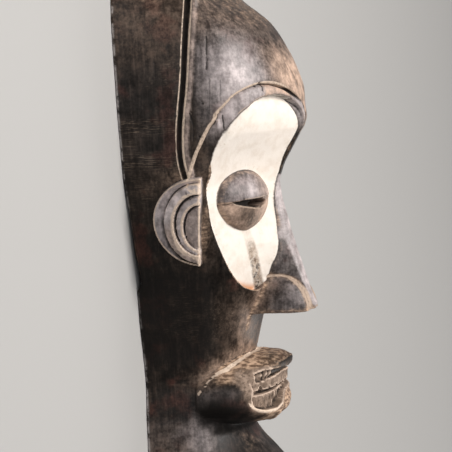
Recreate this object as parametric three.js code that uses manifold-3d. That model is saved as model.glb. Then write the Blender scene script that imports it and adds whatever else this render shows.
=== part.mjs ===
// A carved wooden face mask with a domed forehead, whitened eye sockets and a toothed mouth.
// It lies on its back rim: z = 0 is the rim, +Z the way the face looks, +Y the crown.
// The origin is under the middle of the mask. Lengths are in millimetres.
import * as THREE from 'three';
import Module from 'manifold-3d';
import { mergeVertices } from 'three/addons/utils/BufferGeometryUtils.js';

const wasm = await Module();
wasm.setup();

// Driving dimensions
const CROWN_Y = 222;
const BEARD_Y = -232;
const HALF_WIDTH = 90;
const WALL = 12;
const SMALLEST_EDGE = 0.02;
const BROW_DROP = 4.2;
const SOCKET_DIP = 12;
const HEADBAND = { crown: 196, shoulder: 186, start: 36, spread: 0.6 };
const HEADBAND_RIDGE = { outward: -1.6, lift: -0.8, thick: 6.6 };
const HEADBAND_GROOVE = { outward: 1.4, lift: -5, thick: 5 };
const EYE = { x: 36.5, y: 13.2, z: 81, across: 29, tall: 23.6, proud: 12.5, slope: 0.58 };
const EYE_SLIT = { x: 31, y: 10.4, half: 10, tall: 2.6 };
const EAR = { x: 77, y: 1.2, z: 58.5, forward: 6.5, outward: 10 };
const NOSE = { top: 27, tip: -74.6, tipRise: 128.5, under: -78.8 };
const NOSE_WING = { x: 14, z: 105, across: 12, tall: 28, deep: 21, footDrop: 17 };
const MUZZLE = { foot: 38, squareness: 0.645 };
const MOUTH = { top: -120, gap: -138, corner: -141, bottom: -155.5, reach: 0.267, deep: 11, half: 52 };
const TEETH = { count: 9, reach: 0.225, wide: 8.4, recess: 6.5, deep: 8 };
const UPPER_TEETH = { y: -126, tall: 12, drop: 0 };
const LOWER_TEETH = { y: -147.5, tall: 13, drop: 7 };
const BROW_MIDDLE = { x: 46, y: 58 };
const SOCKET_MIDDLE = { x: 42, y: 30 };

// Stations down the mask, each a height y and a size there
const RIM_HALF = [[CROWN_Y, 10], [219, 32], [213, 54], [205, 68], [197, 77], [185, 84], [172, 88],
  [150, HALF_WIDTH], [91, 89.5], [66, 87.5], [40, 86], [9, 80], [-21, 75], [-36, 71], [-46, 69],
  [-57, 68], [-78, 67], [-105, 63], [-127, 61], [-152, 65], [-180, 67], [BEARD_Y, 72]];
const RIM_LIFT = [[46, 0], [26, 0.8], [9, 1.8], [-21, 3], [-46, 4], [-54, 0]];
const EDGE_HALF = [[CROWN_Y, 3], [213, 14], [206, 22], [199, 34], [193, 47], [184, 58], [172, 65],
  [146, 75], [118, 80], [86, 84], [57, 85.5], [41, 84], [22, 79], [3, 75], [-20, 70], [-46, 64.5],
  [-75, 60], [-104, 56.5], [-127, 55], [-152, 57], [-180, 59], [BEARD_Y, 62]];
const EDGE_RISE = [[CROWN_Y, 0.5], [219, 7], [213, 22], [206, 41], [199, 57], [192, 60], [172, 60.5],
  [118, 58], [57, 52], [41, 53], [22, 58.5], [3, 58], [-20, 56], [-46, 52], [-75, 48], [-104, 43],
  [-127, 40], [-168, 38], [-192, 42], [BEARD_Y, 50]];
const MIDLINE = [[CROWN_Y, 1], [219, 8], [213, 23], [206, 42], [199, 58.5], [188, 61], [180, 65],
  [169.6, 73], [157.9, 89.5], [149, 100.3], [141.3, 106], [131.7, 111.7], [115.2, 120], [98.4, 125],
  [84, 127.8], [75, 129], [68, 127], [62, 122.8], [48, 114], [35, 106.5], [24, 103.5], [0, 104],
  [-20, 104], [-35, 101.5], [-48, 98], [-60, 93], [-80, 83], [-93, 78.5], [-108, 74.2], [-130, 69],
  [-150, 67], [-168, 69], [-180, 76], [-192, 87], [-210, 103], [-222, 110], [BEARD_Y, 111]];
const BULGE_POWER = [[80, 2], [42, 2], [20, 1.25], [-24, 1.6], [-75, 2.2], [BEARD_Y, 2.2]];
const BULGE_ROOT = [[80, 0.5], [42, 0.5], [20, 1], [-24, 0.85], [-75, 0.7], [BEARD_Y, 0.7]];
const HOLLOW_RISE = [[206, 2], [198, 30], [185, 46], [170, 56], [150, 80], [130, 94], [110, 103], [90, 105],
  [75, 98], [60, 90], [40, 81], [20, 76], [0, 75], [-20, 73], [-40, 70], [-60, 66], [-80, 62], [-108, 57],
  [-130, 53], [-168, 50], [-190, 42], [-204, 26], [-212, 2]];
const SOCKET_RISE = [[92, 124], [84, 126], [76, 126.6], [68, 124.8], [60, 120], [48, 112], [35, 105],
  [24, 102], [11, 103], [-5, 106], [-20, 109.5], [-35, 108.5], [-48, 106], [-64, 101]];
const SOCKET_SLOPE = [[92, 0.4], [76, 0.48], [60, 0.54], [44, 0.57], [11, 0.58], [-20, 0.7], [-64, 0.73]];
const NOSE_RISE = [[NOSE.top, 103.5], [18, 104.4], [11, 105.5], [3.4, 107.2], [-3.8, 108.9], [-16.4, 111.2],
  [-30.5, 114.5], [-42, 117.9], [-56, 122.1], [-68.5, 126.3], [NOSE.tip, NOSE.tipRise], [NOSE.under, 127]];
const NOSE_RIDGE_HALF = [[NOSE.top, 1.5], [0, 4], [-40, 6], [NOSE.under, 8]];
const NOSE_BASE_HALF = [[NOSE.top, 5], [15, 10], [0, 12.5], [-40, 18], [NOSE.under, 24]];
const MUZZLE_HALF = [[-110.5, 26], [-113, 36], [-116.5, 43], [-121, 49], [-126.5, 54.5], [-132, 58.5],
  [-138, 61], [-148, 61], [-152, 59.5], [-155, 56], [-158.5, 50], [-162, 41], [-165, 30], [-167.5, 15]];
const MUZZLE_RISE = [[-110.5, 82], [-112.5, 94], [-114.5, 99], [-117.5, 102.5], [-122, 102], [-127, 97],
  [-134, 95.5], [-144, 95.5], [-152, 97.5], [-157.5, 97], [-163, 91], [-167.5, 72]];

// Outlines on the front of the mask's own left side
const BROW_EDGE = [[83.6, 40], [84.5, 50], [84.3, 60], [82.8, 72], [80.2, 81], [77, 88.7], [72.7, 95.8],
  [67.5, 100], [61.4, 102.8], [54.3, 104.2], [46.3, 104], [37.4, 102.2], [27.3, 98.7], [17.8, 93.8],
  [10, 88.9], [3, 83], [3, 60], [14, 34], [50, 27], [78, 27]];
const SOCKET_EDGE = [[78, 42], [78, 52], [77, 62], [74.5, 73], [70, 81], [63, 88], [54, 93], [42, 95],
  [28, 93], [17, 88], [8, 81], [4, 71], [3, 58], [3, 44], [3.4, 30], [6, 20], [9, 10], [11, -8],
  [14, -24], [16, -40], [18.5, -53], [25, -58.5], [34, -57.5], [43, -53], [51, -42], [60, -23],
  [66, -5], [70, 12], [74.5, 30]];

// Steps of the ear from the outside in: depth back, half height, drop of the middle, reach forward of the
// flat front, and how proud of the side the step is
const EAR_STEPS = [[37.4, 35, 0, 0, 6], [28.4, 31.6, 0.6, 3, 1], [27, 30.6, 0.8, -0.4, 7.8],
  [19.8, 24.2, 1.4, 3, 2], [18.6, 23, 2.2, -0.8, 6.6], [12.8, 17.8, 3.6, 3, 2],
  [10.4, 16.2, 4.4, -1.2, 5.4]];

// A smooth value between stations, without overshoot
function along(stations) {
  const rows = [...stations].sort((a, b) => a[0] - b[0]);
  const last = rows.length - 1;
  const steep = rows.map((row, i) => {
    if (i === 0 || i === last) return 0;
    const before = (row[1] - rows[i - 1][1]) / (row[0] - rows[i - 1][0]);
    const after = (rows[i + 1][1] - row[1]) / (rows[i + 1][0] - row[0]);
    return before * after <= 0 ? 0 : (2 * before * after) / (before + after);
  });
  return (y) => {
    if (y <= rows[0][0]) return rows[0][1];
    if (y >= rows[last][0]) return rows[last][1];
    let i = 0;
    while (y > rows[i + 1][0]) i += 1;
    const span = rows[i + 1][0] - rows[i][0];
    const t = (y - rows[i][0]) / span;
    const rise = rows[i + 1][1] - rows[i][1];
    const a = steep[i] * span - rise;
    const b = rise - steep[i + 1] * span;
    return rows[i][1] + t * rise + t * (1 - t) * ((1 - t) * a + t * b);
  };
}

const rimHalf = along(RIM_HALF);
const rimLift = along(RIM_LIFT);
const edgeHalf = along(EDGE_HALF);
const edgeRise = along(EDGE_RISE);
const midline = along(MIDLINE);
const bulgePower = along(BULGE_POWER);
const bulgeRoot = along(BULGE_ROOT);
const hollowRise = along(HOLLOW_RISE);
const socketRise = along(SOCKET_RISE);
const socketSlope = along(SOCKET_SLOPE);
const noseRise = along(NOSE_RISE);
const noseRidgeHalf = along(NOSE_RIDGE_HALF);
const noseBaseHalf = along(NOSE_BASE_HALF);
const muzzleHalf = along(MUZZLE_HALF);
const muzzleRise = along(MUZZLE_RISE);

// Height of the front of the mask over a point, before any carving
function front(x, y) {
  const t = Math.min(Math.abs(x) / edgeHalf(y), 1);
  const arch = (1 - t ** bulgePower(y)) ** bulgeRoot(y);
  return edgeRise(y) + (midline(y) - edgeRise(y)) * arch;
}

// A solid from a closed skin, turned outwards if its faces point in
function solid(geometry) {
  const bare = geometry.clone();
  bare.deleteAttribute('normal');
  bare.deleteAttribute('uv');
  const merged = mergeVertices(bare, 1e-4);
  const spots = merged.attributes.position;
  const corners = [...merged.index.array];
  const at = (i) => new THREE.Vector3().fromBufferAttribute(spots, corners[i]);
  let volume = 0;
  for (let i = 0; i < corners.length; i += 3) volume += at(i).dot(at(i + 1).cross(at(i + 2)));
  if (volume < 0) corners.reverse();
  return new wasm.Manifold(new wasm.Mesh({
    numProp: 3,
    vertProperties: new Float32Array(spots.array),
    triVerts: new Uint32Array(corners),
  }));
}

// A closed skin over rings of equal count, with a fan at each end
function loft(rings) {
  const count = rings[0].length;
  const places = rings.flat();
  const faces = [];
  for (let r = 0; r + 1 < rings.length; r += 1) {
    for (let i = 0; i < count; i += 1) {
      const a = r * count + i;
      const b = r * count + ((i + 1) % count);
      faces.push(a, b, b + count, a, b + count, a + count);
    }
  }
  for (const [r, turn] of [[0, true], [rings.length - 1, false]]) {
    const middle = places.length;
    places.push(rings[r].reduce((sum, p) => sum.add(p), new THREE.Vector3()).divideScalar(count));
    for (let i = 0; i < count; i += 1) {
      const a = r * count + i;
      const b = r * count + ((i + 1) % count);
      faces.push(...(turn ? [middle, b, a] : [middle, a, b]));
    }
  }
  const geometry = new THREE.BufferGeometry().setFromPoints(places);
  geometry.setIndex(faces);
  return solid(geometry);
}

function mirrored(half) {
  const other = [...half].reverse().filter((p) => p.x > 0).map((p) => new THREE.Vector3(-p.x, p.y, p.z));
  return [...half, ...other];
}

// Heights where rings are cut: each one listed, and more between them, no further apart than a gap
function heights(list, gap) {
  const out = [];
  for (let i = 0; i + 1 < list.length; i += 1) {
    const parts = Math.max(1, Math.ceil(Math.abs(list[i + 1] - list[i]) / gap));
    for (let k = 0; k < parts; k += 1) out.push(list[i] + ((list[i + 1] - list[i]) * k) / parts);
  }
  out.push(list[list.length - 1]);
  return out;
}

// The block of the mask: steep sides from the rim to an edge, and a bulging front
function block() {
  const sideSteps = 3;
  const frontSteps = 9;
  const crownTurn = { from: 186, over: 11 };
  const levels = heights([BEARD_Y, -222, -168, -54.5, -53, 30, 74, 150, 190, 199, CROWN_Y], 14);
  return loft(levels.map((y) => {
    const half = [];
    const fullness = 1 + THREE.MathUtils.clamp((y - crownTurn.from) / crownTurn.over, 0, 1);
    for (let i = 0; i < sideSteps; i += 1) {
      const t = i / sideSteps;
      const x = rimHalf(y) - (rimHalf(y) - edgeHalf(y)) * t ** fullness;
      half.push(new THREE.Vector3(x, y, rimLift(y) + (edgeRise(y) - rimLift(y)) * t));
    }
    for (let i = 0; i < frontSteps; i += 1) {
      const x = edgeHalf(y) * Math.cos((i / frontSteps) * (Math.PI / 2));
      half.push(new THREE.Vector3(x, y, front(x, y)));
    }
    half.push(new THREE.Vector3(0, y, front(0, y)));
    return mirrored(half);
  }));
}

// The room for the wearer's face, open at the back
function hollow() {
  const steps = 9;
  const below = -6;
  const fullness = 0.8;
  const levels = heights([-212, -204, -190, 150, 198, 206], 22);
  return loft(levels.map((y) => {
    const reach = rimHalf(y) - WALL;
    const half = [new THREE.Vector3(reach, y, below)];
    for (let i = 1; i < steps; i += 1) {
      const turn = (i / steps) * (Math.PI / 2);
      const x = reach * Math.cos(turn) ** fullness;
      half.push(new THREE.Vector3(x, y, hollowRise(y) * Math.sin(turn) ** fullness));
    }
    half.push(new THREE.Vector3(0, y, hollowRise(y)));
    return mirrored(half);
  }));
}

// A closed outline on one side of the front, resampled to a count of even steps
function outline(points, side, count) {
  const curve = new THREE.CatmullRomCurve3(points.map(([x, y]) => new THREE.Vector3(side * x, y, 0)), true);
  return curve.getSpacedPoints(count).slice(0, count);
}

// A solid over an outline, from a carved floor up past the front
function overFloor(ring, middle, floor, rings) {
  const top = 170;
  const count = ring.length;
  const places = [];
  const faces = [];
  for (let r = 1; r <= rings; r += 1) {
    for (const p of ring) {
      const x = middle.x + ((p.x - middle.x) * r) / rings;
      const y = middle.y + ((p.y - middle.y) * r) / rings;
      places.push(new THREE.Vector3(x, y, floor(x, y)));
    }
  }
  for (const p of ring) places.push(new THREE.Vector3(p.x, p.y, top));
  const bottomMiddle = places.length;
  places.push(new THREE.Vector3(middle.x, middle.y, floor(middle.x, middle.y)));
  places.push(new THREE.Vector3(middle.x, middle.y, top));
  for (let i = 0; i < count; i += 1) {
    const next = (i + 1) % count;
    faces.push(bottomMiddle, next, i);
    for (let r = 0; r < rings; r += 1) {
      const a = r * count + i;
      const b = r * count + next;
      faces.push(a, b, b + count, a, b + count, a + count);
    }
    faces.push(bottomMiddle + 1, rings * count + i, rings * count + next);
  }
  const geometry = new THREE.BufferGeometry().setFromPoints(places);
  geometry.setIndex(faces);
  return solid(geometry);
}

// The floor of the whitened eye socket, a dish that falls away from the nose
function socketFloor(x, y) {
  const inner = 4;
  const wide = 71;
  const from = Math.abs(x) - inner;
  const share = from / wide;
  const dish = socketRise(y) - socketSlope(y) * from - SOCKET_DIP * share * (1 - share);
  return Math.min(dish, front(x, y) - 1);
}

// The band between the sharp lower edge of the forehead and the socket
function browFloor(x, y) {
  const least = 0.3;
  const aboveEdge = 1;
  const step = THREE.MathUtils.smoothstep(Math.abs(x), 3, 30) * THREE.MathUtils.smoothstep(y, 28, 54);
  return Math.max(front(x, y) - step * BROW_DROP - least, edgeRise(y) + aboveEdge);
}

function ball(across, tall, deep, around, up) {
  return new THREE.SphereGeometry(1, around, up).scale(across, tall, deep);
}

// A swollen lid over the floor of the socket
function lid(side) {
  const lean = new THREE.Matrix4().makeRotationY(Math.atan(EYE.slope) * side);
  lean.setPosition(side * EYE.x, EYE.y, EYE.z);
  return solid(ball(EYE.across, EYE.tall, EYE.proud, 20, 9).applyMatrix4(lean));
}

// The slit of an eye, right through the wall
function slit(side) {
  const deep = 60;
  const hole = ball(EYE_SLIT.half, EYE_SLIT.tall, deep, 12, 6);
  return solid(hole.translate(side * EYE_SLIT.x, EYE_SLIT.y, EYE.z - deep / 2));
}

// The nose: a bridge that widens downward, wings beside it, and a flat underside
function nose() {
  const foot = 60;
  const rounding = [{ out: 1.2, down: 3 }, { share: 0.7, down: 0.6 }];
  const levels = heights([NOSE.top, 10, -5, -56, NOSE.tip, NOSE.under], 13).reverse();
  let whole = loft(levels.map((y) => {
    const top = noseRise(y);
    const base = noseBaseHalf(y);
    const half = [
      new THREE.Vector3(base, y, foot),
      new THREE.Vector3(base, y, socketFloor(base, y) - 2),
      new THREE.Vector3(noseRidgeHalf(y) + rounding[0].out, y, top - rounding[0].down),
      new THREE.Vector3(noseRidgeHalf(y) * rounding[1].share, y, top - rounding[1].down),
      new THREE.Vector3(0, y, top),
    ];
    return mirrored(half);
  }));
  for (const side of [-1, 1]) {
    const wing = ball(NOSE_WING.across, NOSE_WING.tall, NOSE_WING.deep, 16, 10);
    whole = whole.add(solid(wing.translate(side * NOSE_WING.x, NOSE.under, NOSE_WING.z)));
    const lower = ball(NOSE_WING.across, NOSE_WING.tall - 2, NOSE_WING.deep, 12, 8);
    const lowerZ = NOSE_WING.z - NOSE_WING.footDrop;
    whole = whole.add(solid(lower.translate(side * NOSE_WING.x, NOSE.under, lowerZ)));
  }
  const cut = { wide: 90, tall: 40, deep: 100, z: 110 };
  const under = new THREE.BoxGeometry(cut.wide, cut.tall, cut.deep);
  under.translate(0, NOSE.under - cut.tall / 2, cut.z);
  return whole.subtract(solid(under));
}

// A point on the plan of the squared mouth block at a height, given its share of a half turn
function muzzlePoint(y, share, inset) {
  const cos = Math.cos(share * Math.PI);
  const x = Math.sign(cos) * (muzzleHalf(y) - inset) * Math.abs(cos) ** MUZZLE.squareness;
  const rise = (muzzleRise(y) - inset - MUZZLE.foot) * Math.sin(share * Math.PI) ** MUZZLE.squareness;
  return new THREE.Vector3(x, y, MUZZLE.foot + rise);
}

function muzzle() {
  const steps = 20;
  const back = 30;
  const backDrop = 4;
  const margin = 0.002;
  const levels = heights([-167.5, -165, -158.5, -148, -138, -117.5, -113, -110.5], 7.5);
  return loft(levels.map((y) => {
    const ring = [];
    for (let i = 0; i <= steps; i += 1) {
      ring.push(muzzlePoint(y, margin + ((1 - 2 * margin) * i) / steps, 0));
    }
    ring.push(new THREE.Vector3(-back, y, MUZZLE.foot - backDrop));
    ring.push(new THREE.Vector3(back, y, MUZZLE.foot - backDrop));
    return ring;
  }));
}

// The open mouth, cut in from the front: nearly straight above, round below
function mouthGap() {
  const steps = 16;
  const past = -12;
  const topDrop = -9;
  const fullness = 0.96;
  const edges = [[MOUTH.bottom, MOUTH.deep], [MOUTH.top, MOUTH.deep], [MOUTH.top, past],
    [MOUTH.bottom, past]];
  const rings = [];
  for (let i = 0; i <= steps; i += 1) {
    const across = (2 * i) / steps - 1;
    const share = 0.5 + MOUTH.reach * across;
    const corner = Math.min(Math.abs(muzzlePoint(MOUTH.gap, share, 0).x) / MOUTH.half, 1);
    rings.push(edges.map(([edge, inset]) => {
      const above = edge === MOUTH.top;
      const round = above ? corner ** 6 : 1 - Math.sqrt(1 - fullness * corner ** 2);
      const y = edge + (above ? topDrop : MOUTH.corner - MOUTH.bottom) * round;
      const p = muzzlePoint(MOUTH.gap, share, inset);
      return new THREE.Vector3(p.x, y, p.z);
    }));
  }
  return loft(rings);
}

// A row of block teeth round the front of the mouth
function teeth({ y, tall, drop }) {
  const row = [];
  const turnStep = 0.01;
  for (let i = 0; i < TEETH.count; i += 1) {
    const across = (2 * i) / (TEETH.count - 1) - 1;
    const share = 0.5 + TEETH.reach * across;
    const p = muzzlePoint(MOUTH.gap, share, TEETH.recess + TEETH.deep / 2);
    const q = muzzlePoint(MOUTH.gap, share + turnStep, TEETH.recess + TEETH.deep / 2);
    const tooth = new THREE.BoxGeometry(TEETH.wide, tall, TEETH.deep);
    tooth.rotateY(-Math.atan2(q.z - p.z, q.x - p.x)).translate(p.x, y + drop * across ** 2, p.z);
    row.push(solid(tooth));
  }
  return row.reduce((all, tooth) => all.add(tooth));
}

function mouth() {
  return muzzle().subtract(mouthGap()).add(teeth(UPPER_TEETH)).add(teeth(LOWER_TEETH));
}

// A half ellipse plate on the side of the head, its flat edge forward
function earPlate(side, [deep, tall, drop, reach], low, high) {
  const steps = 13;
  const shape = new THREE.Shape();
  shape.moveTo(-reach, tall);
  for (let i = 1; i < steps; i += 1) {
    const turn = (i / steps) * Math.PI;
    shape.lineTo(deep * Math.sin(turn), tall * Math.cos(turn));
  }
  shape.lineTo(-reach, -tall);
  const plate = new THREE.ExtrudeGeometry(shape, { depth: high - low, bevelEnabled: false });
  plate.translate(0, -drop, low).rotateY(Math.PI / 2);
  plate.rotateX(THREE.MathUtils.degToRad(EAR.forward));
  plate.rotateZ(-THREE.MathUtils.degToRad(EAR.outward));
  return solid(plate.translate(EAR.x, EAR.y, EAR.z).scale(side, 1, 1));
}

// Nested raised arches, with grooves between them
function withEar(whole, side) {
  const root = -20;
  const clear = 30;
  let before = 0;
  let out = whole;
  for (const step of EAR_STEPS) {
    const face = step[4];
    if (face > before) out = out.add(earPlate(side, step, root, face));
    else out = out.subtract(earPlate(side, step, face, clear));
    before = face;
  }
  return out;
}

// The path of the headband: along the front edge of the sides and over the crown,
// where the end wall spreads outward as it drops
function headbandPath(outward, lift) {
  const points = [];
  const sideSteps = 12;
  const archSteps = 10;
  const squareness = 0.8;
  for (let i = 0; i <= sideSteps; i += 1) {
    const y = HEADBAND.start + ((HEADBAND.shoulder - HEADBAND.start) * i) / sideSteps;
    points.push(new THREE.Vector3(edgeHalf(y) + outward, y, edgeRise(y) + lift));
  }
  const half = edgeHalf(HEADBAND.shoulder) + outward;
  const tall = HEADBAND.crown - HEADBAND.shoulder + outward - HEADBAND.spread * lift;
  for (let i = 1; i < archSteps; i += 1) {
    const turn = (i / archSteps) * Math.PI;
    const x = half * Math.sign(Math.cos(turn)) * Math.abs(Math.cos(turn)) ** squareness;
    const y = HEADBAND.shoulder + tall * Math.sin(turn) ** squareness;
    points.push(new THREE.Vector3(x, y, edgeRise(HEADBAND.shoulder) + lift));
  }
  for (let i = sideSteps; i >= 0; i -= 1) {
    const p = points[i];
    points.push(new THREE.Vector3(-p.x, p.y, p.z));
  }
  return new THREE.CatmullRomCurve3(points);
}

function headbandRod({ outward, lift, thick }) {
  const corners = 5;
  const shape = new THREE.Shape();
  for (let i = 0; i < corners; i += 1) {
    const turn = (i / corners) * 2 * Math.PI;
    const spot = [(thick / 2) * Math.cos(turn), (thick / 2) * Math.sin(turn)];
    if (i === 0) shape.moveTo(...spot);
    else shape.lineTo(...spot);
  }
  const path = headbandPath(outward, lift);
  return solid(new THREE.ExtrudeGeometry(shape, { steps: 36, bevelEnabled: false, extrudePath: path }));
}

function mask() {
  let whole = block();
  for (const side of [-1, 1]) {
    const brow = outline(BROW_EDGE, side, 36);
    const middle = { x: side * BROW_MIDDLE.x, y: BROW_MIDDLE.y };
    whole = whole.subtract(overFloor(brow, middle, browFloor, 3));
  }
  whole = whole.add(headbandRod(HEADBAND_RIDGE)).subtract(headbandRod(HEADBAND_GROOVE));
  for (const side of [-1, 1]) {
    const socket = outline(SOCKET_EDGE, side, 40);
    const middle = { x: side * SOCKET_MIDDLE.x, y: SOCKET_MIDDLE.y };
    whole = whole.subtract(overFloor(socket, middle, socketFloor, 4));
    whole = withEar(whole.add(lid(side)), side);
  }
  whole = whole.add(nose()).add(mouth()).subtract(hollow());
  for (const side of [-1, 1]) whole = whole.subtract(slit(side));
  return whole.simplify(SMALLEST_EDGE);
}

function meshOf(manifold) {
  const data = manifold.getMesh();
  const places = [];
  for (let i = 0; i < data.vertProperties.length; i += data.numProp) {
    places.push(data.vertProperties[i], data.vertProperties[i + 1], data.vertProperties[i + 2]);
  }
  const geometry = new THREE.BufferGeometry();
  geometry.setAttribute('position', new THREE.Float32BufferAttribute(places, 3));
  geometry.setIndex([...data.triVerts]);
  return geometry;
}

const group = new THREE.Group();
const wood = new THREE.MeshStandardMaterial({ color: 0x2b211c, roughness: 0.55, metalness: 0 });
const carved = new THREE.Mesh(meshOf(mask()), wood);
carved.name = 'mask';
carved.position.y = -(CROWN_Y + BEARD_Y) / 2;
group.add(carved);

export default group;
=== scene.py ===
import math
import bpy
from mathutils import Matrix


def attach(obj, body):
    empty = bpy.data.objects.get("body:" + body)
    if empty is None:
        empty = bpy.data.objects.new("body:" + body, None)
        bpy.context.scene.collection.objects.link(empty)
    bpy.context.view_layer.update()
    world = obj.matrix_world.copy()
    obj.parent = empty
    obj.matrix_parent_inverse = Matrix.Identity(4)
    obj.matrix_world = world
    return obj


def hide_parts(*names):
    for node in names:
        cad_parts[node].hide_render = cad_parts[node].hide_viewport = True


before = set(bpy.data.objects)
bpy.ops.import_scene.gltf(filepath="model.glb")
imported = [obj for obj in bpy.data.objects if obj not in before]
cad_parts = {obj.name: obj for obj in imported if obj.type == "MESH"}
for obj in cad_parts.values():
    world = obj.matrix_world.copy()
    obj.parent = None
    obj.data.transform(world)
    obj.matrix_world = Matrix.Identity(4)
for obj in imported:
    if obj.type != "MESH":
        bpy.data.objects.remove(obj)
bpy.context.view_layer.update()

from types import SimpleNamespace as Named

import bpy
import numpy as np
from mathutils import Matrix, Vector

# Lengths are in millimetres in the carving's own frame: x across, y up the face, z out of the face.
# The frame of the part is the same, moved up the face by Y_MOVE.
Y_MOVE = 5.0
MM = 0.001
CELL = 0.8
TRIANGLES = 186000
SHARP = 0.09
SEED = 7

# Driving sizes
CROWN_Y = 222.0
BEARD_Y = -232.0
WALL = 12.0
BROW_DROP = 4.0
SOCKET_DIP = 12.0
EYE = Named(x=36.5, y=13.2, z=81.0, across=29.0, tall=23.6, proud=12.5, slope=0.58)
SLIT = Named(x=31.0, y=10.4, half=10.0, tall=2.6)
EAR = Named(x=77.0, y=1.2, z=58.5, forward=6.5, outward=10.0)
NOSE_TOP = 27.0
NOSE_UNDER = -78.8
WING = Named(x=14.0, z=105.0, across=12.0, tall=28.0, deep=21.0)
MUZZLE_FOOT = 38.0
MUZZLE_POWER = 3.1
CROWN_TURN = Named(start=186, run=11)
ROOM = Named(power=2.5, top=206, foot=-212)
GOUGE = Named(rows=9, stroke=34, shift=0.37, deep=0.7, lift=0.9)
SOCKET_SPAN = Named(start=4, wide=71)
# The lean of the forehead's edge at its side, and the slopes between which a level gives a distance
SIDE_LEAN = 0.92
GENTLEST = 0.006
STEEPEST = 9
BROW_LOW = Named(inner=0.3, band=1.2, band_end=75.6)
HEADBAND = Named(crown=196.0, shoulder=186.0, start=36.0, spread=0.6, height=60.0)
# Lines beside the headband: how far outward and how far up
RIDGE, GROOVE, LIT_RIDGE, ABOVE_RIDGE = (-2.3, -0.2), (0.9, -4.2), (-0.3, -1.9), (-5.2, 1.2)

# Stations down the mask, each a height y and a size there
RIM_HALF = [(CROWN_Y, 10), (219, 32), (213, 54), (205, 68), (197, 77), (185, 84), (172, 88),
            (150, 90), (91, 89.5), (66, 87.5), (40, 86), (9, 80), (-21, 75), (-36, 71), (-46, 69),
            (-57, 68), (-78, 67), (-105, 63), (-127, 61), (-152, 65), (-180, 67), (BEARD_Y, 72)]
RIM_LIFT = [(46, 0), (26, 0.8), (9, 1.8), (-21, 3), (-46, 4), (-54, 0)]
EDGE_HALF = [(CROWN_Y, 3), (213, 14), (206, 22), (199, 34), (193, 47), (184, 58), (172, 65),
             (146, 75), (118, 80), (86, 84), (57, 85.5), (41, 84), (22, 79), (3, 75), (-20, 70),
             (-46, 64.5), (-75, 60), (-104, 56.5), (-127, 55), (-152, 57), (-180, 59), (BEARD_Y, 62)]
EDGE_RISE = [(CROWN_Y, 0.5), (219, 7), (213, 22), (206, 41), (199, 57), (192, 60), (172, 60.5),
             (118, 58), (57, 52), (41, 53), (22, 58.5), (3, 58), (-20, 56), (-46, 52), (-75, 48),
             (-104, 43), (-127, 40), (-168, 38), (-192, 42), (BEARD_Y, 50)]
MIDLINE = [(CROWN_Y, 1), (219, 8), (213, 23), (206, 42), (199, 58.5), (188, 61), (180, 65),
           (169.6, 73), (157.9, 89.5), (149, 100.3), (141.3, 106), (131.7, 111.7), (115.2, 120),
           (98.4, 125), (84, 127.8), (75, 129), (68, 127), (62, 122.8), (48, 114), (35, 106.5),
           (24, 103.5), (0, 104), (-20, 104), (-35, 101.5), (-48, 98), (-60, 93), (-80, 83),
           (-93, 78.5), (-108, 74.2), (-130, 69), (-150, 67), (-168, 69), (-180, 76), (-192, 87),
           (-210, 103), (-222, 110), (BEARD_Y, 111)]
BULGE_POWER = [(80, 2), (42, 2), (20, 1.25), (-24, 1.6), (-75, 2.2), (BEARD_Y, 2.2)]
BULGE_ROOT = [(80, 0.5), (42, 0.5), (20, 1), (-24, 0.85), (-75, 0.7), (BEARD_Y, 0.7)]
HOLLOW_RISE = [(206, 2), (198, 30), (185, 46), (170, 56), (150, 80), (130, 94), (110, 103),
               (90, 105), (75, 98), (60, 90), (40, 81), (20, 76), (0, 75), (-20, 73), (-40, 70),
               (-60, 66), (-80, 62), (-108, 57), (-130, 53), (-168, 50), (-190, 42), (-204, 26),
               (-212, 2)]
SOCKET_RISE = [(92, 124), (84, 126), (76, 126.6), (68, 124.8), (60, 120), (48, 112), (35, 105), (24, 102),
               (11, 103), (-5, 106), (-20, 109.5), (-35, 108.5), (-48, 106), (-64, 101)]
SOCKET_SLOPE = [(92, 0.4), (76, 0.48), (60, 0.54), (44, 0.57), (11, 0.58), (-20, 0.7), (-64, 0.73)]
NOSE_RISE = [(NOSE_TOP, 103.5), (18, 104.4), (11, 105.5), (3.4, 107.2), (-3.8, 108.9), (-16.4, 111.2),
             (-30.5, 114.5), (-42, 117.9), (-56, 122.1), (-68.5, 126.3), (-74.6, 128.5),
             (NOSE_UNDER, 127)]
NOSE_RIDGE_HALF = [(NOSE_TOP, 1.5), (0, 4), (-40, 6), (NOSE_UNDER, 8)]
NOSE_BASE_HALF = [(NOSE_TOP, 5), (15, 10), (0, 12.5), (-40, 18), (NOSE_UNDER, 24)]
MUZZLE_HALF = [(-110.5, 26), (-113, 36), (-116.5, 43), (-121, 49), (-126.5, 54.5), (-132, 58.5), (-138, 61),
               (-148, 61), (-152, 59.5), (-155, 56), (-158.5, 50), (-162, 41), (-165, 30), (-167.5, 15)]
MUZZLE_RISE = [(-110.5, 82), (-112.5, 94), (-114.5, 99), (-117.5, 102.5), (-122, 102.5), (-125.5, 100.5),
               (-129, 96.5), (-134, 95.5), (-144, 95.5), (-152, 97.5), (-157.5, 97), (-163, 91),
               (-167.5, 72)]

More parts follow.
